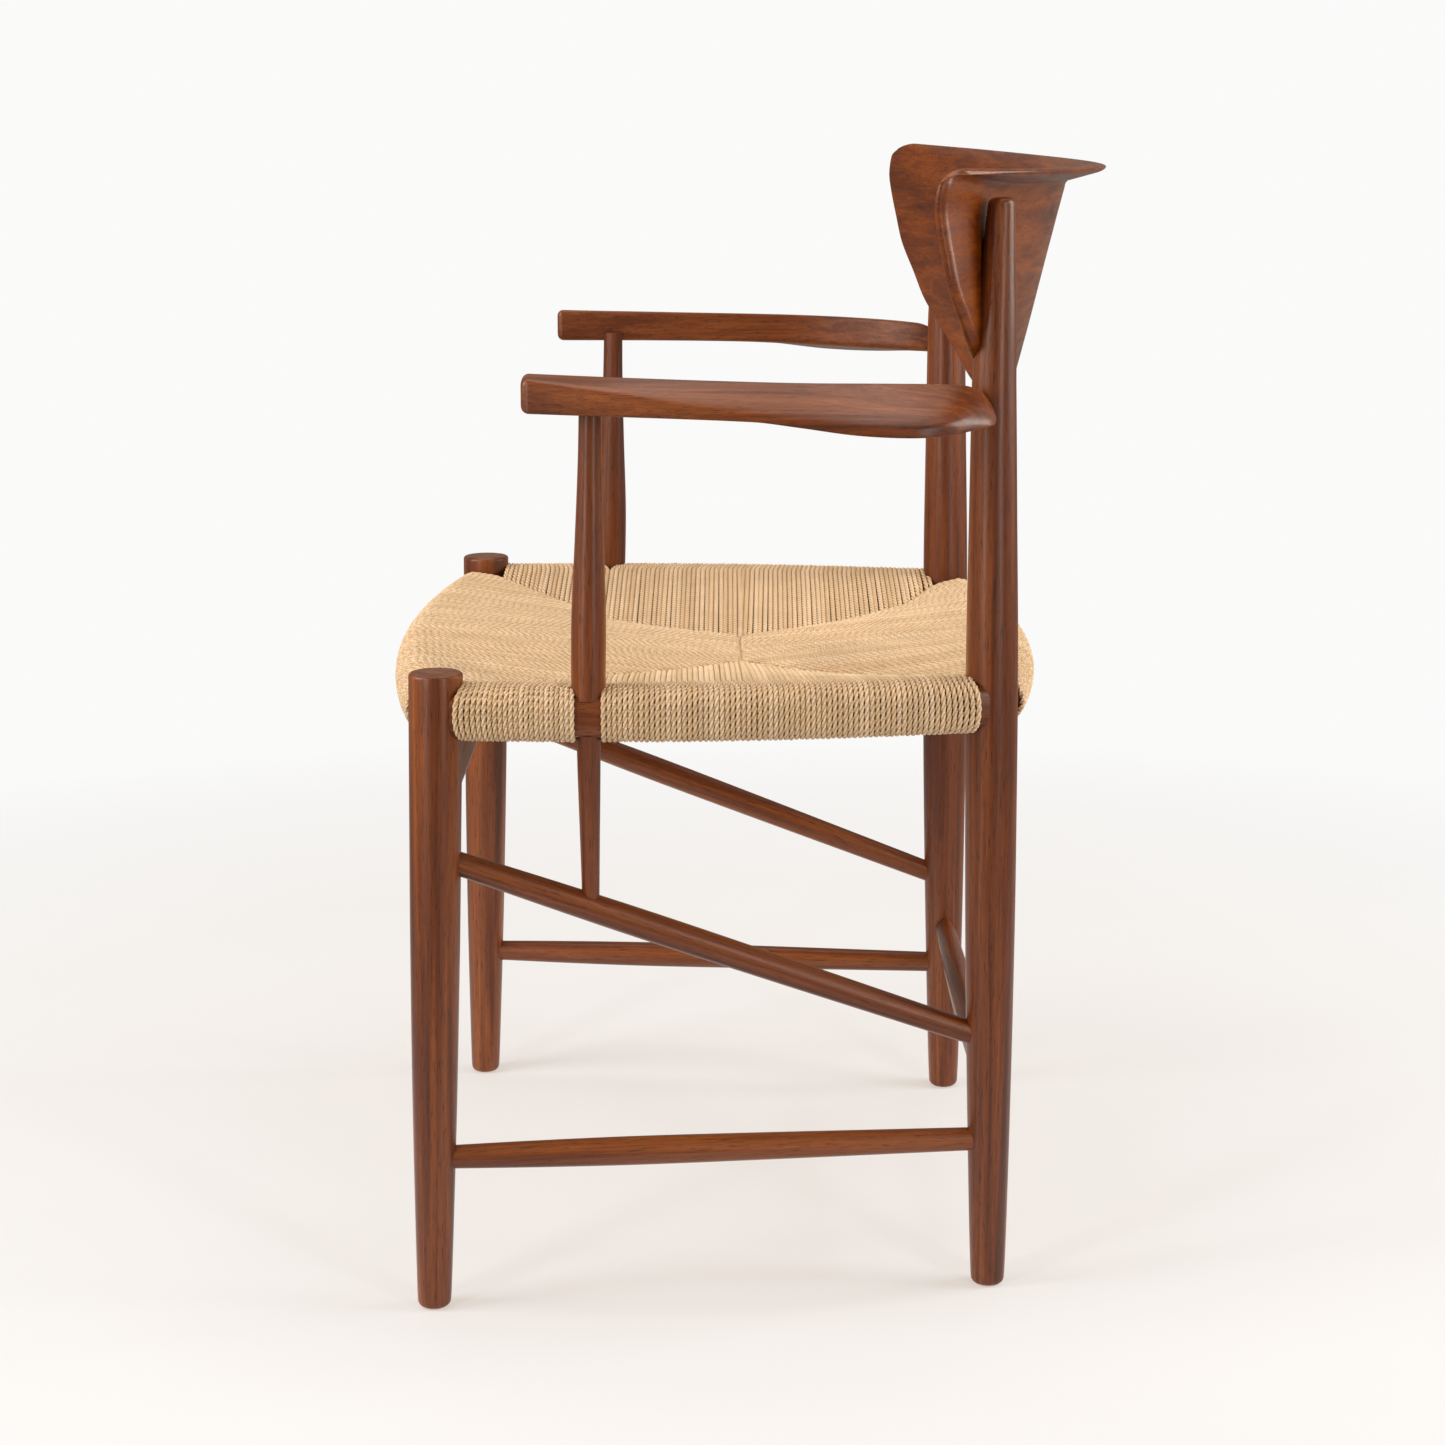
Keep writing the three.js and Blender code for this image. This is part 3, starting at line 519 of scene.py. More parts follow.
def make_rails(material):
    """The four bowed rails that carry the cord."""
    rails = {
        "front_rail": rail_rings(front_rail_point, END_RAIL_ROUND, END_RAIL_INSET),
        "rear_rail": rail_rings(rear_rail_point, END_RAIL_ROUND, END_RAIL_INSET),
        "side_rail_left": rail_rings(side_rail_point, SIDE_RAIL_ROUND),
        "side_rail_right": mirrored(rail_rings(side_rail_point, SIDE_RAIL_ROUND), -1),
    }
    for node, rings in rails.items():
        turned(f"{node}_bowed", rings, material, node)


# ---------- Arm supports ----------
def make_arm_supports(material):
    """Posts from the side rails up to the arms, and spindles down to the slanted stretchers."""
    x, y = ARM_POST["rail"]
    post = rod_rings(
        (x, y, RAIL_TOP - ARM_POST_SINK), (*ARM_POST["arm"], ARM_POST["top"]), ARM_POST_RADII)
    front = front_at(DIAGONAL_FRONT_Z)
    rear = rear_at(DIAGONAL_REAR_Z)
    foot = lerp(front, rear, (y - front[1]) / (rear[1] - front[1]))
    spindle = rod_rings(
        foot + [0, 0, SPINDLE_FOOT_RISE], (x, y, RAIL_FOOT + SPINDLE_TOP_SINK), SPINDLE_RADII)
    for side, word in SIDES:
        turned(f"arm_post_{word}_turned", mirrored(post, side), material, f"arm_post_{word}")
        turned(f"spindle_{word}_turned", mirrored(spindle, side), material, f"spindle_{word}")


# ---------- Armrests ----------
def arm_section(y, inset, corner=9):
    """The four-cornered section of the left arm at one place along it, its corners eased."""
    inner = smooth(ARM_INNER_X)(y)
    outer = smooth(ARM_OUTER_X)(y)
    outer_foot, outer_top, inner_top, inner_foot = corners = np.array([
        (outer, smooth(ARM_OUTER_FOOT)(y)),
        (outer, smooth(ARM_OUTER_TOP)(y)),
        (inner, smooth(ARM_INNER_TOP)(y)),
        (inner, smooth(ARM_INNER_FOOT)(y)),
    ])
    face = np.linalg.norm(outer_top - outer_foot)
    top = np.linalg.norm(inner_top - outer_top)
    inner_face = np.linalg.norm(inner_top - inner_foot)
    # How far each corner's easing reaches along the sides before and after it. Towards the
    # rear the outer face turns into one soft roll over a crisp lower edge.
    roll = min(np.interp(y, ARM_ROLL_Y, ARM_ROLL), 0.45 * top)
    ease = ARM_EDGE_ROUND
    reaches = [
        (ARM_LOWER_EDGE_ROUND, min(2, 0.15 * face)),
        (min(ease, 0.8 * face), roll),
        (min(ease, 0.4 * top), min(ease, 0.45 * inner_face)),
        (min(ease, 0.45 * inner_face), ease),
    ]
    middle = corners.mean(axis=0)
    t = np.linspace(0, 1, corner)[:, None]
    points = []
    for k, (back, ahead) in enumerate(reaches):
        start = corners[k] + unit(corners[k - 1] - corners[k]) * back
        end = corners[k] + unit(corners[(k + 1) % 4] - corners[k]) * ahead
        points.append((1 - t) ** 2 * start + 2 * t * (1 - t) * corners[k] + t ** 2 * end)
    points = np.concatenate(points)
    size = np.ptp(points, axis=0)
    points = middle + (points - middle) * np.maximum(1 - 2 * inset / size, 0.2)
    return np.column_stack([points[:, 0], np.full(len(points), y), points[:, 1]])


def arm_rings(steps=120):
    """Sections closing up at both ends, where they draw in by a rounding."""
    turn = np.linspace(0, math.pi, steps)
    along = (ARM_FRONT + ARM_REAR) / 2 - (ARM_REAR - ARM_FRONT) / 2 * np.cos(turn)
    rings = []
    for y in along:
        inset = 0.0
        for distance, radius in ((y - ARM_FRONT, ARM_FRONT_ROUND), (ARM_REAR - y, ARM_REAR_ROUND)):
            t = min(distance / radius, 1)
            inset += radius * (1 - math.sqrt(1 - (1 - t) ** 2))
        rings.append(arm_section(y, inset))
    return np.array(rings)


def make_armrests(material):
    """Both arms, with their grain running front to rear."""
    rings = arm_rings()
    for side, word in SIDES:
        shape = mirrored(rings, side)
        grain = np.stack([shape[..., 0], shape[..., 2], shape[..., 1]], axis=-1) + grain_phase()
        piece = loft(f"armrest_{word}_shaped", shape, grain)
        finish_piece(piece, material, f"armrest_{word}")


# ---------- Backrest ----------
def back_half_width(z):
    """Half the width of the shell at a height, closing like a bowl below the table's first row."""
    low_z, low_width = BACK_HALF_WIDTH[0]
    lower = low_width * np.sqrt(np.clip(z - BACK_BOTTOM_Z, 0, None) / (low_z - BACK_BOTTOM_Z))
    return np.where(z > low_z, smooth(BACK_HALF_WIDTH)(z), lower)


def back_drop(x, z):
    """How far the shell comes forward of its middle: a hyperbola in plan, tighter towards the top."""
    bend = smooth(BACK_BEND)(z)
    return np.sqrt(bend ** 2 + (WING_SLOPE * x) ** 2) - bend


def back_faces(x, share):
    """Rear and front points of the shell: share runs 0 to 1 up the wall and out along the lip."""
    reach = smooth(LIP_REACH)(np.abs(x))
    wall = np.clip(share / BACK_WALL_SHARE, 0, 1)
    out = np.clip((share - BACK_WALL_SHARE) / (1 - BACK_WALL_SHARE), 0, 1)
    # Rear face: straight wall, small fillet, then the rising underside of the lip.
    foot = np.minimum(reach, LIP_FILLET)
    root = LIP_UNDER_Z - LIP_UNDER_SLOPE * (reach - foot)
    turn = np.clip(out / LIP_FILLET_SHARE, 0, 1) * math.pi / 2
    slide = np.clip((out - LIP_FILLET_SHARE) / (1 - LIP_FILLET_SHARE), 0, 1)
    rear_back = foot * (1 - np.cos(turn)) + (reach - foot) * slide
    wall_top = root - LIP_FILLET
    rear_z = lerp(BACK_BOTTOM_Z, wall_top, wall) + LIP_FILLET * np.sin(turn)
    rear_z = rear_z + (LIP_UNDER_Z - root) * slide
    # Front face: straight wall, then a wide easy curve to the top of the lip.
    rise = LIP_FRONT_RISE + 0.5 * reach
    bow = out * math.pi / 2
    front_back = (reach - LIP_TOP_Z + LIP_UNDER_Z + BACK_THICKNESS) * (1 - np.cos(bow)) - BACK_THICKNESS
    front_z = lerp(BACK_BOTTOM_Z, LIP_TOP_Z - rise, wall) + rise * np.sin(bow)
    lift = CORNER_RISE * (x / BACK_HALF_WIDTH[-1][1]) ** 2 * share
    faces = []
    for back, z in ((rear_back, rear_z), (front_back, front_z)):
        wall_z = np.minimum(z, wall_top)
        y = BACK_FOOT_Y + BACK_LEAN * (wall_z - BACK_BOTTOM_Z) - back_drop(x, z) + back
        faces.append(np.stack([x, y, z + lift], axis=-1))
    return faces


def backrest_rings(across=120):
    """Rings up the shell; each goes over the rear face and back over the front face."""
    wall = np.linspace(0.02, 1, 64) ** 1.7 * BACK_WALL_SHARE
    lip = np.linspace(BACK_WALL_SHARE, 1 - BACK_EDGE_SHARE, 22)[1:]
    end = 1 - BACK_EDGE_SHARE * (1 - np.sin(np.linspace(0, math.pi / 2, 9)[1:]))
    turn = np.linspace(0, math.pi, across + 1)[:-1]
    rings = []
    for share in np.concatenate([wall, lip, end]):
        rear, front = back_faces(np.array([BACK_HALF_WIDTH[-1][1]]), share)
        z = (rear[0, 2] + front[0, 2]) / 2 - CORNER_RISE * share
        width, height = CORNER_ROUND
        into = min(max((z - (LIP_EDGE_Z - height)) / height, 0), 1)
        half_width = back_half_width(z) - width * (1 - math.sqrt(1 - into ** 2))
        slope = back_half_width(z + 0.5) - back_half_width(z - 0.5)
        edge = 1 - min((1 - share) / BACK_EDGE_SHARE, 1)
        depth = max(math.sqrt(1 - edge ** 2), 0.12)
        sides = []
        for sign in (1, -1):
            x = -half_width * np.cos(turn) * sign
            from_edge = (half_width - np.abs(x)) / math.hypot(1, slope)
            thin = np.sqrt(1 - (1 - np.clip(from_edge / (BACK_THICKNESS / 2), 0, 1)) ** 2)
            rear, front = back_faces(x, np.full_like(x, share))
            offset = (sign * depth * thin / 2)[:, None] * (rear - front)
            sides.append((rear + front) / 2 + offset)
        rings.append(np.concatenate(sides))
    return np.array(rings)


def make_backrest(material):
    """The bent shell between the rear posts."""
    rings = backrest_rings()
    # The grain runs across the shell, a little longer than its width because of the bend.
    along = math.hypot(1, 0.45) * rings[..., 0]
    grain = np.stack([rings[..., 2], rings[..., 1] * 0.4, along], axis=-1) + grain_phase()
    piece = loft("backrest_shell", rings, grain)
    finish_piece(piece, material, "backrest")


def make_plugs(material):
    """End-grain plugs in the rear faces of the posts, their ends shaped flush with the posts."""
    turn = np.linspace(0, 2 * math.pi, 40, endpoint=False)
    # Radius and depth below the post's surface of each ring, the last ones standing a little proud.
    steps = [(PLUG_RADIUS, PLUG_LENGTH), (PLUG_RADIUS, 0.1), (PLUG_RADIUS - 0.3, -0.06), (1.5, -0.06)]
    for level, z in PLUG_HEIGHTS.items():
        x, y = rear_leg_centre(z)
        post = smooth(REAR_LEG_RADII)(z)
        rings = []
        for radius, sink in steps:
            across = radius * np.cos(turn)
            surface = y + np.sqrt(post ** 2 - across ** 2)
            rings.append(np.column_stack([x + across, surface - sink, z + radius * np.sin(turn)]))
        rings = np.array(rings)
        for side, word in SIDES:
            piece = loft(f"back_plug_{level}_{word}_face", mirrored(rings, side))
            finish_piece(piece, material, f"back_plug_{level}_{word}")


def finish_screws(material):
    """The hidden screws keep their CAD shape and only get a finished material."""
    for place in ("lower_left", "lower_right", "upper_left", "upper_right"):
        screw = bpy.data.objects[f"back_screw_{place}"].data
        screw.materials.clear()
        screw.materials.append(material)


# ---------- Woven seat ----------
def seam_points(line, axis, values):
    """Points on a seam where its x (axis 0) or y (axis 1) has the given values."""
    line = np.array(sorted(line, key=lambda point: point[axis]), float)
    return np.stack([np.interp(values, line[:, axis], line[:, k]) for k in range(3)], axis=-1)


def rail_place(point_at, axis, value):
    """Plan point on a rail where its x (axis 0) or y (axis 1) has the given value."""
    share = np.linspace(-0.02, 1.02, 400)
    line = point_at(share)
    order = np.argsort(line[:, axis])
    share = np.interp(value, line[order, axis], share[order])
    return point_at(share), unit_rows(normal_at(point_at, share))


def wrap_profile(reach, over, stretch, seam_z, shape):
    """One wrap seen from its side, as (distance from the rail's axis to the seam, height).

    It rises out of the seam, runs to the rail, goes round it and sinks into the seam below.
    reach is the distance to the seam, over how far the cord passes it, and stretch widens the
    rail for a cord that crosses it at a slant. shape is one of the dictionaries above.
    """
    outer = -(RAIL_WIDTH / 2 + CORD_STAND) * stretch
    top = RAIL_TOP + CORD_STAND - shape["drop"]
    foot = RAIL_FOOT - CORD_STAND
    bend = shape["turn"]
    turn = np.linspace(math.pi / 2, math.pi, 7)
    arc = np.column_stack([
        outer + bend * stretch * (1 + np.cos(turn)),
        top - bend + bend * np.sin(turn),
    ])
    lower_arc = (arc * [1, -1] + [0, top + foot])[::-1]
    end = reach + over
    seam_top = seam_z - CORD_RADIUS
    seam_foot = SEAM_FOOT_Z - SHORT_WRAP_DROP * (reach < SHORT_WRAP)
    inside = np.linspace(4, end - 8, 10)
    bulge = np.sqrt(inside / reach)
    crown_z = lerp(top, seam_top, inside / reach) + shape["lift"] * 4 * bulge * (1 - bulge)
    crown = np.column_stack([inside, crown_z])
    rising = [
        (end + 1.4, seam_top - 5.5), (end + 1.0, seam_top - 3.2), (end - 0.4, seam_top - 1.0),
        (end - 3, seam_top),
    ]
    sinking = [
        (8, foot + 0.1), (end - 3, seam_foot), (end - 0.4, seam_foot + 1.0),
        (end + 1.0, seam_foot + 2.6), (end + 1.4, seam_foot + 4),
    ]
    return resample(np.concatenate([rising, crown[::-1], arc, lower_arc, sinking]))


def wrap_path(rail, normal, seam, over, shape, squeeze, aside=0.0):
    """The middle line of one cord from a seam round a rail, and the direction across it.

    squeeze pushes it along the rail on the outer face, and aside shifts it where it lies on the rail.
    """
    inward = unit(seam[:2] - rail)
    side = np.array([-inward[1], inward[0]])
    reach = np.linalg.norm(seam[:2] - rail)
    stretch = 1 / abs(inward @ normal)
    inside, z = wrap_profile(reach, over, stretch, seam[2], shape).T
    outer = -(RAIL_WIDTH / 2 + CORD_STAND) * stretch
    # Beside a leg the cord is pushed along the rail, most where it crosses the outer face.
    pushed = squeeze * np.exp(-((inside - outer) / 9) ** 2) * (1 - 0.5 * ((z - RAIL_Z) / 17) ** 2)
    pushed += aside * np.clip(1 - inside / 24, 0, 1) ** 1.5
    wander = RANDOM.normal(0, 0.3) * np.clip(inside / reach, 0, 1)
    plan = rail + inside[:, None] * inward + (pushed + wander)[:, None] * side
    return np.column_stack([plan, z + RANDOM.normal(0, 0.12)]), np.append(side, 0)


def resample(path):
    """The same polyline with even steps, its corners slightly rounded."""
    steps = np.linalg.norm(np.diff(path, axis=0), axis=1)
    place = np.concatenate([[0], np.cumsum(steps)])
    count = max(int(place[-1] / CORD_STEP), 8)
    even = np.linspace(0, place[-1], count)
    path = np.stack([np.interp(even, place, path[:, k]) for k in (0, 1)], axis=-1)
    path[1:-1] = (path[:-2] + 2 * path[1:-1] + path[2:]) / 4
    return path


def cord_tube(path, side):
    """Three twisted plies as one lobed tube along a path."""
    around = 12
    ahead = unit_rows(np.gradient(path, axis=0))
    up = unit_rows(np.cross(ahead, side))
    over = np.cross(up, ahead)
    step = np.linalg.norm(np.diff(path, axis=0), axis=1)
    distance = np.concatenate([[0], np.cumsum(step)])
    lay = CORD_LAY * RANDOM.uniform(0.93, 1.07)
    turn = 2 * math.pi * (distance / lay + RANDOM.uniform())
    angle = np.linspace(0, 2 * math.pi, around, endpoint=False)
    radius = CORD_RADIUS * (0.98 + 0.18 * np.cos(3 * angle))
    phase = angle[None] + turn[:, None]
    outward = np.cos(phase)[..., None] * over[:, None] + np.sin(phase)[..., None] * up[:, None]
    return path[:, None] + radius[None, :, None] * outward


def cord_piece(name, wraps, side, material):
    """All the given wraps as one piece, on the left side or mirrored to the right."""
    points, quads, caps, tones, painted_groove_shades = [], [], [], [], []
    first = 0
    for path, across in wraps:
        tube = cord_tube(path, across)
        count, around = tube.shape[:2]
        faces = skin_faces(count, around, first)
        ends = [np.arange(around)[::-1] + first, np.arange(around) + first + (count - 1) * around]
        if side < 0:
            faces = faces[:, ::-1]
            ends = [end[::-1] for end in ends]
        points.append(tube.reshape(-1, 3) * [side, 1, 1])
        quads.append(faces)
        caps.extend(ends)
        tones.append(np.full(count * around, RANDOM.uniform()))
        # How deep each point lies in a groove between the plies; the material darkens it there as
        # painted shade.
        around_cord = np.arange(around) * 2 * math.pi / around
        painted_groove_shades.append(np.tile(0.5 - 0.5 * np.cos(3 * around_cord), count))
        first += count * around
    values = {"tone": np.concatenate(tones), "painted_groove_shade": np.concatenate(painted_groove_shades)}
    piece = write_mesh(name, np.concatenate(points), np.concatenate(quads), caps, values=values)
    finish_piece(piece, material, "woven_seat")


def corner_squeeze(count, most, reach=7):
    """How far the wraps beside a leg are pushed towards it, fading along the rail."""
    return most * np.exp(-np.arange(count) / reach)


def end_wraps(point_at, start, seam_line, count, shape, most):
    """Wraps of the front or rear rail from a leg to the ridge, and then half the ridge."""
    xs = np.concatenate([
        np.linspace(start, RIDGE_END[0] + RIDGE_CLEARANCE, count),
        np.linspace(RIDGE_END[0] - RIDGE_CLEARANCE, RIDGE_CLEARANCE, RIDGE_WRAPS),
    ])
    rails, normals = rail_place(point_at, 0, xs)
    ridge = [(x, RIDGE_END[1], RIDGE_Z) for x in xs[count:]]
    seams = np.concatenate([
        seam_points(seam_line, 0, np.linspace(seam_line[0][0], RIDGE_END[0], count)), ridge,
    ])
    squeeze = np.concatenate([corner_squeeze(count, most), np.zeros(RIDGE_WRAPS)])
    return [
        wrap_path(rails[i], normals[i], seams[i], -SEAM_OVERLAP, shape, squeeze[i])
        for i in range(len(xs))
    ]


def side_wraps():
    """Wraps of the left side rail, split where the front seam hands over to the rear seam."""
    post = ARM_POST["rail"][1]
    before = WRAPS_BEFORE_POST
    count = FRONT_WRAPS + REAR_WRAPS
    even = np.linspace(SIDE_START_Y, SIDE_END_Y, count)
    # On the rail the wraps leave a bare strip for the arm post; behind it they close up again.
    on_rail = np.concatenate([
        np.linspace(SIDE_START_Y, post - POST_GAP, before),
        np.linspace(post + POST_GAP, SIDE_END_Y, count - before),
    ])
    rails, normals = rail_place(side_rail_point, 1, even)
    seams = np.concatenate([
        seam_points(FRONT_SEAM, 1, np.linspace(FRONT_SEAM[0][1], RIDGE_END[1], FRONT_WRAPS)),
        seam_points(REAR_SEAM, 1, np.linspace(RIDGE_END[1], REAR_SEAM[0][1], REAR_WRAPS)),
    ])
    squeeze = np.zeros(count)
    squeeze[:FRONT_WRAPS] += corner_squeeze(FRONT_WRAPS, SIDE_SQUEEZE)
    squeeze[-REAR_WRAPS:] -= corner_squeeze(REAR_WRAPS, SIDE_SQUEEZE)[::-1]
    aside = even - on_rail
    return [
        wrap_path(rails[i], normals[i], seams[i], SEAM_OVERLAP, SIDE_SHAPE, squeeze[i], aside[i])
        for i in range(count)
    ]


def make_seat(material, pad_material):
    """The woven seat: eight fields of cord and the pad between its faces."""
    front = end_wraps(
        front_rail_point, FRONT_START_X, FRONT_SEAM, FRONT_WRAPS, FRONT_SHAPE, FRONT_SQUEEZE)
    rear = end_wraps(
        rear_rail_point, REAR_START_X, REAR_SEAM, REAR_WRAPS, REAR_SHAPE, REAR_SQUEEZE)
    flank = side_wraps()
    for side, word in SIDES:
        cord_piece(f"seat_cord_front_{word}", front, side, material)
        cord_piece(f"seat_cord_rear_{word}", rear, side, material)
        cord_piece(f"seat_cord_{word}_fore", flank[:FRONT_WRAPS], side, material)
        cord_piece(f"seat_cord_{word}_aft", flank[FRONT_WRAPS:], side, material)
    make_seat_pad(pad_material)


def make_seat_pad(material):
    """The crossing cords hidden between the two faces of the seat, as one thin pad."""
    share = np.linspace(0.02, 0.98, 24)
    right = side_rail_point(share) * [-1, 1]
    outline = np.concatenate([
        front_rail_point(share), side_rail_point(share), rear_rail_point(share), right[::-1],
    ])
    centre = np.array(PAD_CENTRE)
    inset = outline - PAD_INSET * unit_rows(outline - centre)
    rings = []
    for shrink, z in PAD_RINGS:
        plan = centre + (inset - centre) * shrink
        rings.append(np.column_stack([plan, np.full(len(plan), z)]))
    piece = loft("seat_inner_cords", np.array(rings))
    finish_piece(piece, material, "woven_seat")


# ---------- Materials ----------
def linear(red, green, blue):
    """A colour written as 0 to 255 screen values, as scene-linear RGBA."""
    parts = [value / 255 for value in (red, green, blue)]
    return tuple(c / 12.92 if c <= 0.04045 else ((c + 0.055) / 1.055) ** 2.4 for c in parts) + (1,)


class Nodes:
    """A material's node tree with short ways to add nodes and join them."""

    def __init__(self, name):
        self.material = bpy.data.materials.new(name)
        self.material.use_nodes = True
        self.tree = self.material.node_tree
        self.shader = self.tree.nodes["Principled BSDF"]

    def add(self, kind, **settings):
        """A new node with the given properties."""
        node = self.tree.nodes.new(kind)
        for key, value in settings.items():
            setattr(node, key, value)
        return node

    def join(self, output, target):
        """A link from an output to an input."""
        self.tree.links.new(output, target)

    def stretched(self, vector, scale):
        """The vector scaled by three factors."""
        mapping = self.add("ShaderNodeMapping")
        mapping.inputs["Scale"].default_value = scale
        self.join(vector, mapping.inputs["Vector"])
        return mapping.outputs["Vector"]

    def noise(self, vector, scale, detail, roughness, distortion=0.0):
        """Noise between about 0.3 and 0.7."""
        node = self.add("ShaderNodeTexNoise")
        node.inputs["Scale"].default_value = scale
        node.inputs["Detail"].default_value = detail
        node.inputs["Roughness"].default_value = roughness
        node.inputs["Distortion"].default_value = distortion
        self.join(vector, node.inputs["Vector"])
        return node.outputs["Fac"]

    def ramp(self, value, stops):
        """A colour ramp through (value, colour) stops."""
        node = self.add("ShaderNodeValToRGB")
        elements = node.color_ramp.elements
        while len(elements) < len(stops):
            elements.new(0.5)
        for element, (place, colour) in zip(elements, stops):
            element.position = place
            element.color = colour
        self.join(value, node.inputs["Fac"])
        return node.outputs["Color"]

    def feed(self, value, target):
        """Joins an output to a socket, or sets the socket to a constant."""
        if isinstance(value, bpy.types.NodeSocket):
            self.join(value, target)
        else:
            target.default_value = value

    def mix(self, factor, a, b, blend="MIX"):
        """Two colours blended by a factor."""
        node = self.add("ShaderNodeMix", data_type="RGBA", blend_type=blend)
        # The colour form of this node has its factor and colours at these places.
        for value, place in ((factor, 0), (a, 6), (b, 7)):
            self.feed(value, node.inputs[place])
        return node.outputs[2]

    def maths(self, operation, a, b):
        """One arithmetic step on two values."""
        node = self.add("ShaderNodeMath", operation=operation)
        self.feed(a, node.inputs[0])
        self.feed(b, node.inputs[1])
        return node.outputs[0]

    def remap(self, value, low, high, to_low, to_high):
        """The value with the range low to high carried over to the range to_low to to_high."""
        node = self.add("ShaderNodeMapRange")
        self.join(value, node.inputs["Value"])
        node.inputs["From Min"].default_value = low
        node.inputs["From Max"].default_value = high
        node.inputs["To Min"].default_value = to_low
        node.inputs["To Max"].default_value = to_high
        return node.outputs["Result"]

    def bump(self, height, distance, strength):
        """Fine relief of the surface; distance is in metres."""
        node = self.add("ShaderNodeBump")
        node.inputs["Strength"].default_value = strength
        node.inputs["Distance"].default_value = distance
        self.join(height, node.inputs["Height"])
        self.join(node.outputs["Normal"], self.shader.inputs["Normal"])


def wood(name, dark, middle, light):
    """Straight-grained oiled hardwood. The grain attribute runs along its third coordinate."""
    nodes = Nodes(name)
    vector = nodes.add("ShaderNodeAttribute", attribute_name="grain").outputs["Vector"]
    broad = nodes.noise(nodes.stretched(vector, (1, 1, 0.03)), 48, 3, 0.55, 0.3)
    rings = nodes.noise(nodes.stretched(vector, (1, 1, 0.022)), 130, 4, 0.6, 0.9)
    fine = nodes.noise(nodes.stretched(vector, (1, 1, 0.03)), 620, 4, 0.65)
    pores = nodes.noise(nodes.stretched(vector, (1, 1, 0.055)), 1500, 2, 0.5)
    tone = nodes.maths("ADD", nodes.maths("MULTIPLY", broad, 0.5),
                       nodes.maths("MULTIPLY", rings, 0.5))
    colour = nodes.ramp(tone, [(0.3, dark), (0.47, middle), (0.68, light)])
    streak = nodes.remap(fine, 0.35, 0.7, 0.78, 1.12)
    colour = nodes.mix(1.0, colour, streak, "MULTIPLY")
    pore = nodes.remap(pores, 0.32, 0.42, 0.4, 1.0)
    colour = nodes.mix(1.0, colour, pore, "MULTIPLY")
    nodes.join(colour, nodes.shader.inputs["Base Color"])
    nodes.join(nodes.remap(rings, 0.3, 0.7, 0.4, 0.3), nodes.shader.inputs["Roughness"])
    nodes.shader.inputs["Specular IOR Level"].default_value = 0.35
    nodes.shader.inputs["Coat Weight"].default_value = 0.12
    nodes.shader.inputs["Coat Roughness"].default_value = 0.25
    height = nodes.maths("ADD", nodes.maths("MULTIPLY", pores, 0.6), nodes.maths("MULTIPLY", fine, 0.4))
    nodes.bump(height, 0.00025, 0.35)
    return nodes.material


def cord_material(name, shade=1.0):
    """Twisted paper cord: warm straw with a tone of its own for each wrap, and painted shade in the
    grooves between its plies.
    """
    nodes = Nodes(name)
    place = nodes.add("ShaderNodeTexCoord").outputs["Object"]
    tone = nodes.add("ShaderNodeAttribute", attribute_name="tone").outputs["Fac"]
    # shade scales the whole colour down, for a copy of the cord painted as lying in shade.
    colour = nodes.ramp(tone, [
        (0.0, linear(218 * shade, 190 * shade, 152 * shade)),
        (0.5, linear(226 * shade, 199 * shade, 163 * shade)),
        (1.0, linear(234 * shade, 209 * shade, 175 * shade)),
    ])
    painted_groove_shade = nodes.add("ShaderNodeAttribute", attribute_name="painted_groove_shade").outputs["Fac"]
    # Painted shade: the grooves between the plies are darkened towards brown.
    colour = nodes.mix(nodes.remap(painted_groove_shade, 0.3, 1.0, 0.0, 0.6), colour, linear(138, 84, 34))
    blotch = nodes.noise(place, 55, 3, 0.6)
    colour = nodes.mix(1.0, colour, nodes.remap(blotch, 0.3, 0.7, 0.92, 1.06), "MULTIPLY")
    fibre = nodes.noise(place, 1800, 3, 0.7)
    colour = nodes.mix(1.0, colour, nodes.remap(fibre, 0.3, 0.75, 0.84, 1.1), "MULTIPLY")
    nodes.join(colour, nodes.shader.inputs["Base Color"])
    nodes.shader.inputs["Roughness"].default_value = 0.72
    nodes.shader.inputs["Specular IOR Level"].default_value = 0.2
    nodes.bump(fibre, 0.00025, 0.5)
    return nodes.material


def plug_material():
    """End-grain wood of the plugs over the back screws."""
    nodes = Nodes("plug_end_grain")
    place = nodes.add("ShaderNodeTexCoord").outputs["Object"]
    speck = nodes.noise(place, 1600, 3, 0.6)
    nodes.join(nodes.ramp(speck, [(0.35, linear(44, 25, 17)), (0.65, linear(84, 50, 34))]),
               nodes.shader.inputs["Base Color"])
    nodes.shader.inputs["Roughness"].default_value = 0.5
    nodes.bump(speck, 0.0002, 0.4)
    return nodes.material


def steel_material():
    """Turned steel of the hidden screws, with fine scratches."""
    nodes = Nodes("screw_steel_turned")
    place = nodes.add("ShaderNodeTexCoord").outputs["Object"]
    scratch = nodes.noise(nodes.stretched(place, (1, 0.1, 1)), 2500, 2, 0.6)
    nodes.join(nodes.ramp(scratch, [(0.3, linear(120, 120, 118)), (0.7, linear(170, 170, 168))]),
               nodes.shader.inputs["Base Color"])
    nodes.shader.inputs["Metallic"].default_value = 1.0
    nodes.join(nodes.remap(scratch, 0.3, 0.7, 0.3, 0.45), nodes.shader.inputs["Roughness"])
    return nodes.material


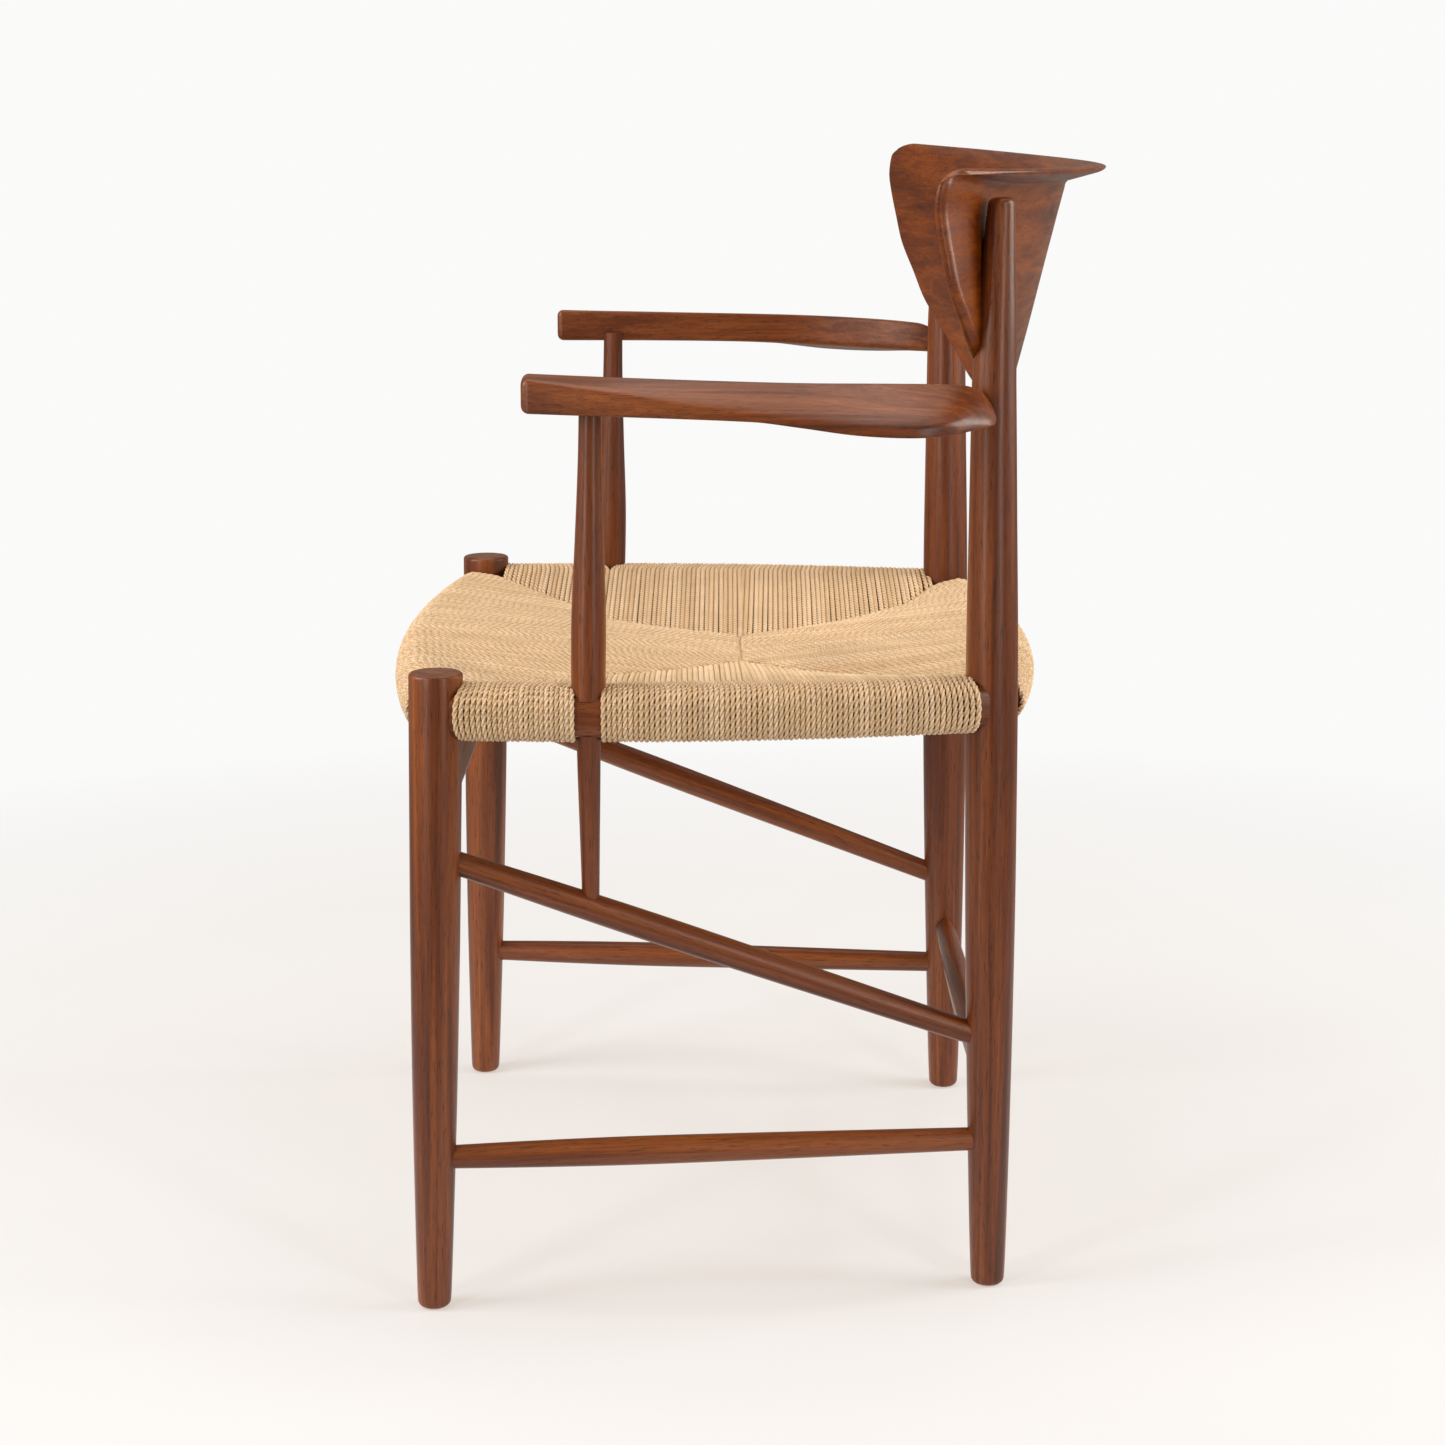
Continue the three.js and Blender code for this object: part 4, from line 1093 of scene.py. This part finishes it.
def floor_material():
    """Pale studio floor that fades into the white background away from the chair."""
    nodes = Nodes("studio_floor")
    place = nodes.add("ShaderNodeTexCoord").outputs["Object"]
    length = nodes.add("ShaderNodeVectorMath", operation="LENGTH")
    nodes.join(place, length.inputs[0])
    alpha = nodes.remap(length.outputs["Value"], 0.45, 1.6, 1.0, 0.0)
    blotch = nodes.noise(place, 3, 3, 0.5)
    nodes.join(nodes.ramp(blotch, [(0.3, (0.3, 0.36, 0.42, 1)), (0.7, (0.31, 0.37, 0.43, 1))]),
               nodes.shader.inputs["Base Color"])
    # Paper lit from below as well, so that the shadows stay pale.
    nodes.shader.inputs["Emission Color"].default_value = (0.52, 0.443, 0.386, 1)
    nodes.shader.inputs["Emission Strength"].default_value = 1.0
    nodes.shader.inputs["Roughness"].default_value = 0.7
    nodes.join(alpha, nodes.shader.inputs["Alpha"])
    return nodes.material


# ---------- Studio ----------
def make_floor():
    """A round sheet just below the feet."""
    angle = np.linspace(0, 2 * math.pi, 96, endpoint=False)
    mesh = bpy.data.meshes.new("studio_floor")
    radius = 2.5
    mesh.from_pydata([(radius * math.cos(a), radius * math.sin(a), 0) for a in angle], [],
                     [tuple(range(len(angle)))])
    floor = bpy.data.objects.new("studio_floor", mesh)
    bpy.context.scene.collection.objects.link(floor)
    floor.location.z = -0.0003
    mesh.materials.append(floor_material())


def area_light(name, place, target, size, power):
    """A warm rectangular lamp that faces a target."""
    light = bpy.data.lights.new(name, "AREA")
    light.shape = "RECTANGLE"
    light.size, light.size_y = size
    light.energy = power
    light.color = (1, 0.94, 0.87)
    lamp = bpy.data.objects.new(name, light)
    lamp.location = place
    lamp.rotation_mode = "QUATERNION"
    lamp.rotation_quaternion = (Vector(target) - Vector(place)).to_track_quat("-Z", "Y")
    bpy.context.scene.collection.objects.link(lamp)


def make_lights():
    """Softboxes around the chair, given by their place from its middle, size in metres and power."""
    low, high = CAD_BOX
    middle = (low + high) / 2
    lamps = {
        "softbox_front": ((0.55, -1.9, 1.0), (1.0, 1.6), 38),
        "softbox_rear": ((0.05, 1.9, 0.9), (1.2, 1.6), 40),
        "softbox_above": ((-0.3, 0.0, 2.0), (1.6, 1.6), 15),
        "strip_left": ((1.8, -1.4, 0.6), (0.3, 1.9), 16),
        "strip_right": ((1.9, 1.2, 0.6), (0.3, 1.9), 14),
    }
    for name, (offset, size, power) in lamps.items():
        area_light(name, middle + Vector(offset), middle, size, power)


def make_world():
    """A white backdrop for the camera, and a dimmer and warmer room that lights the chair."""
    world = bpy.data.worlds.new("studio")
    bpy.context.scene.world = world
    world.use_nodes = True
    tree = world.node_tree
    seen = tree.nodes["Background"]
    seen.inputs["Color"].default_value = (0.955, 0.955, 0.95, 1)
    room = tree.nodes.new("ShaderNodeBackground")
    room.inputs["Color"].default_value = (0.33, 0.29, 0.25, 1)
    choose = tree.nodes.new("ShaderNodeMixShader")
    ray = tree.nodes.new("ShaderNodeLightPath")
    tree.links.new(ray.outputs["Is Camera Ray"], choose.inputs["Fac"])
    tree.links.new(room.outputs["Background"], choose.inputs[1])
    tree.links.new(seen.outputs["Background"], choose.inputs[2])
    tree.links.new(choose.outputs["Shader"], tree.nodes["World Output"].inputs["Surface"])


def make_camera():
    """A long lens from the chair's left, looking slightly down at the middle of the frame."""
    target = Vector((0, DATUM_Y + 7.3, 358.5)) * MM
    distance = 2.403
    elevation = math.radians(12.061)
    turn = math.radians(0.232)
    level = math.cos(elevation)
    back = Vector((math.cos(turn) * level, -math.sin(turn) * level, math.sin(elevation)))
    data = bpy.data.cameras.new("camera")
    data.sensor_width = 36
    data.lens = 79.62
    camera = bpy.data.objects.new("camera", data)
    camera.location = target + back * distance
    camera.rotation_mode = "QUATERNION"
    camera.rotation_quaternion = (-back).to_track_quat("-Z", "Y")
    bpy.context.scene.collection.objects.link(camera)
    bpy.context.scene.camera = camera


# ---------- Assembly ----------
make_camera()
make_floor()
make_lights()
make_world()
bpy.context.scene.view_settings.view_transform = "Standard"

FRAME_WOOD = wood("oiled_hardwood", linear(52, 22, 6), linear(102, 48, 16), linear(144, 80, 36))
BACK_WOOD = wood("backrest_hardwood", linear(60, 22, 2), linear(102, 44, 3), linear(136, 68, 8))
CORD = cord_material("paper_cord")
# The hidden pad between the two faces of the seat gets a darker copy of the cord: painted shade.
INNER_CORD_PAINTED_SHADE = cord_material("paper_cord_inside_painted_shade", 0.55)

make_legs(FRAME_WOOD)
make_stretchers(FRAME_WOOD)
make_rails(FRAME_WOOD)
make_arm_supports(FRAME_WOOD)
make_armrests(FRAME_WOOD)
make_backrest(BACK_WOOD)
make_seat(CORD, INNER_CORD_PAINTED_SHADE)
make_plugs(plug_material())
finish_screws(steel_material())
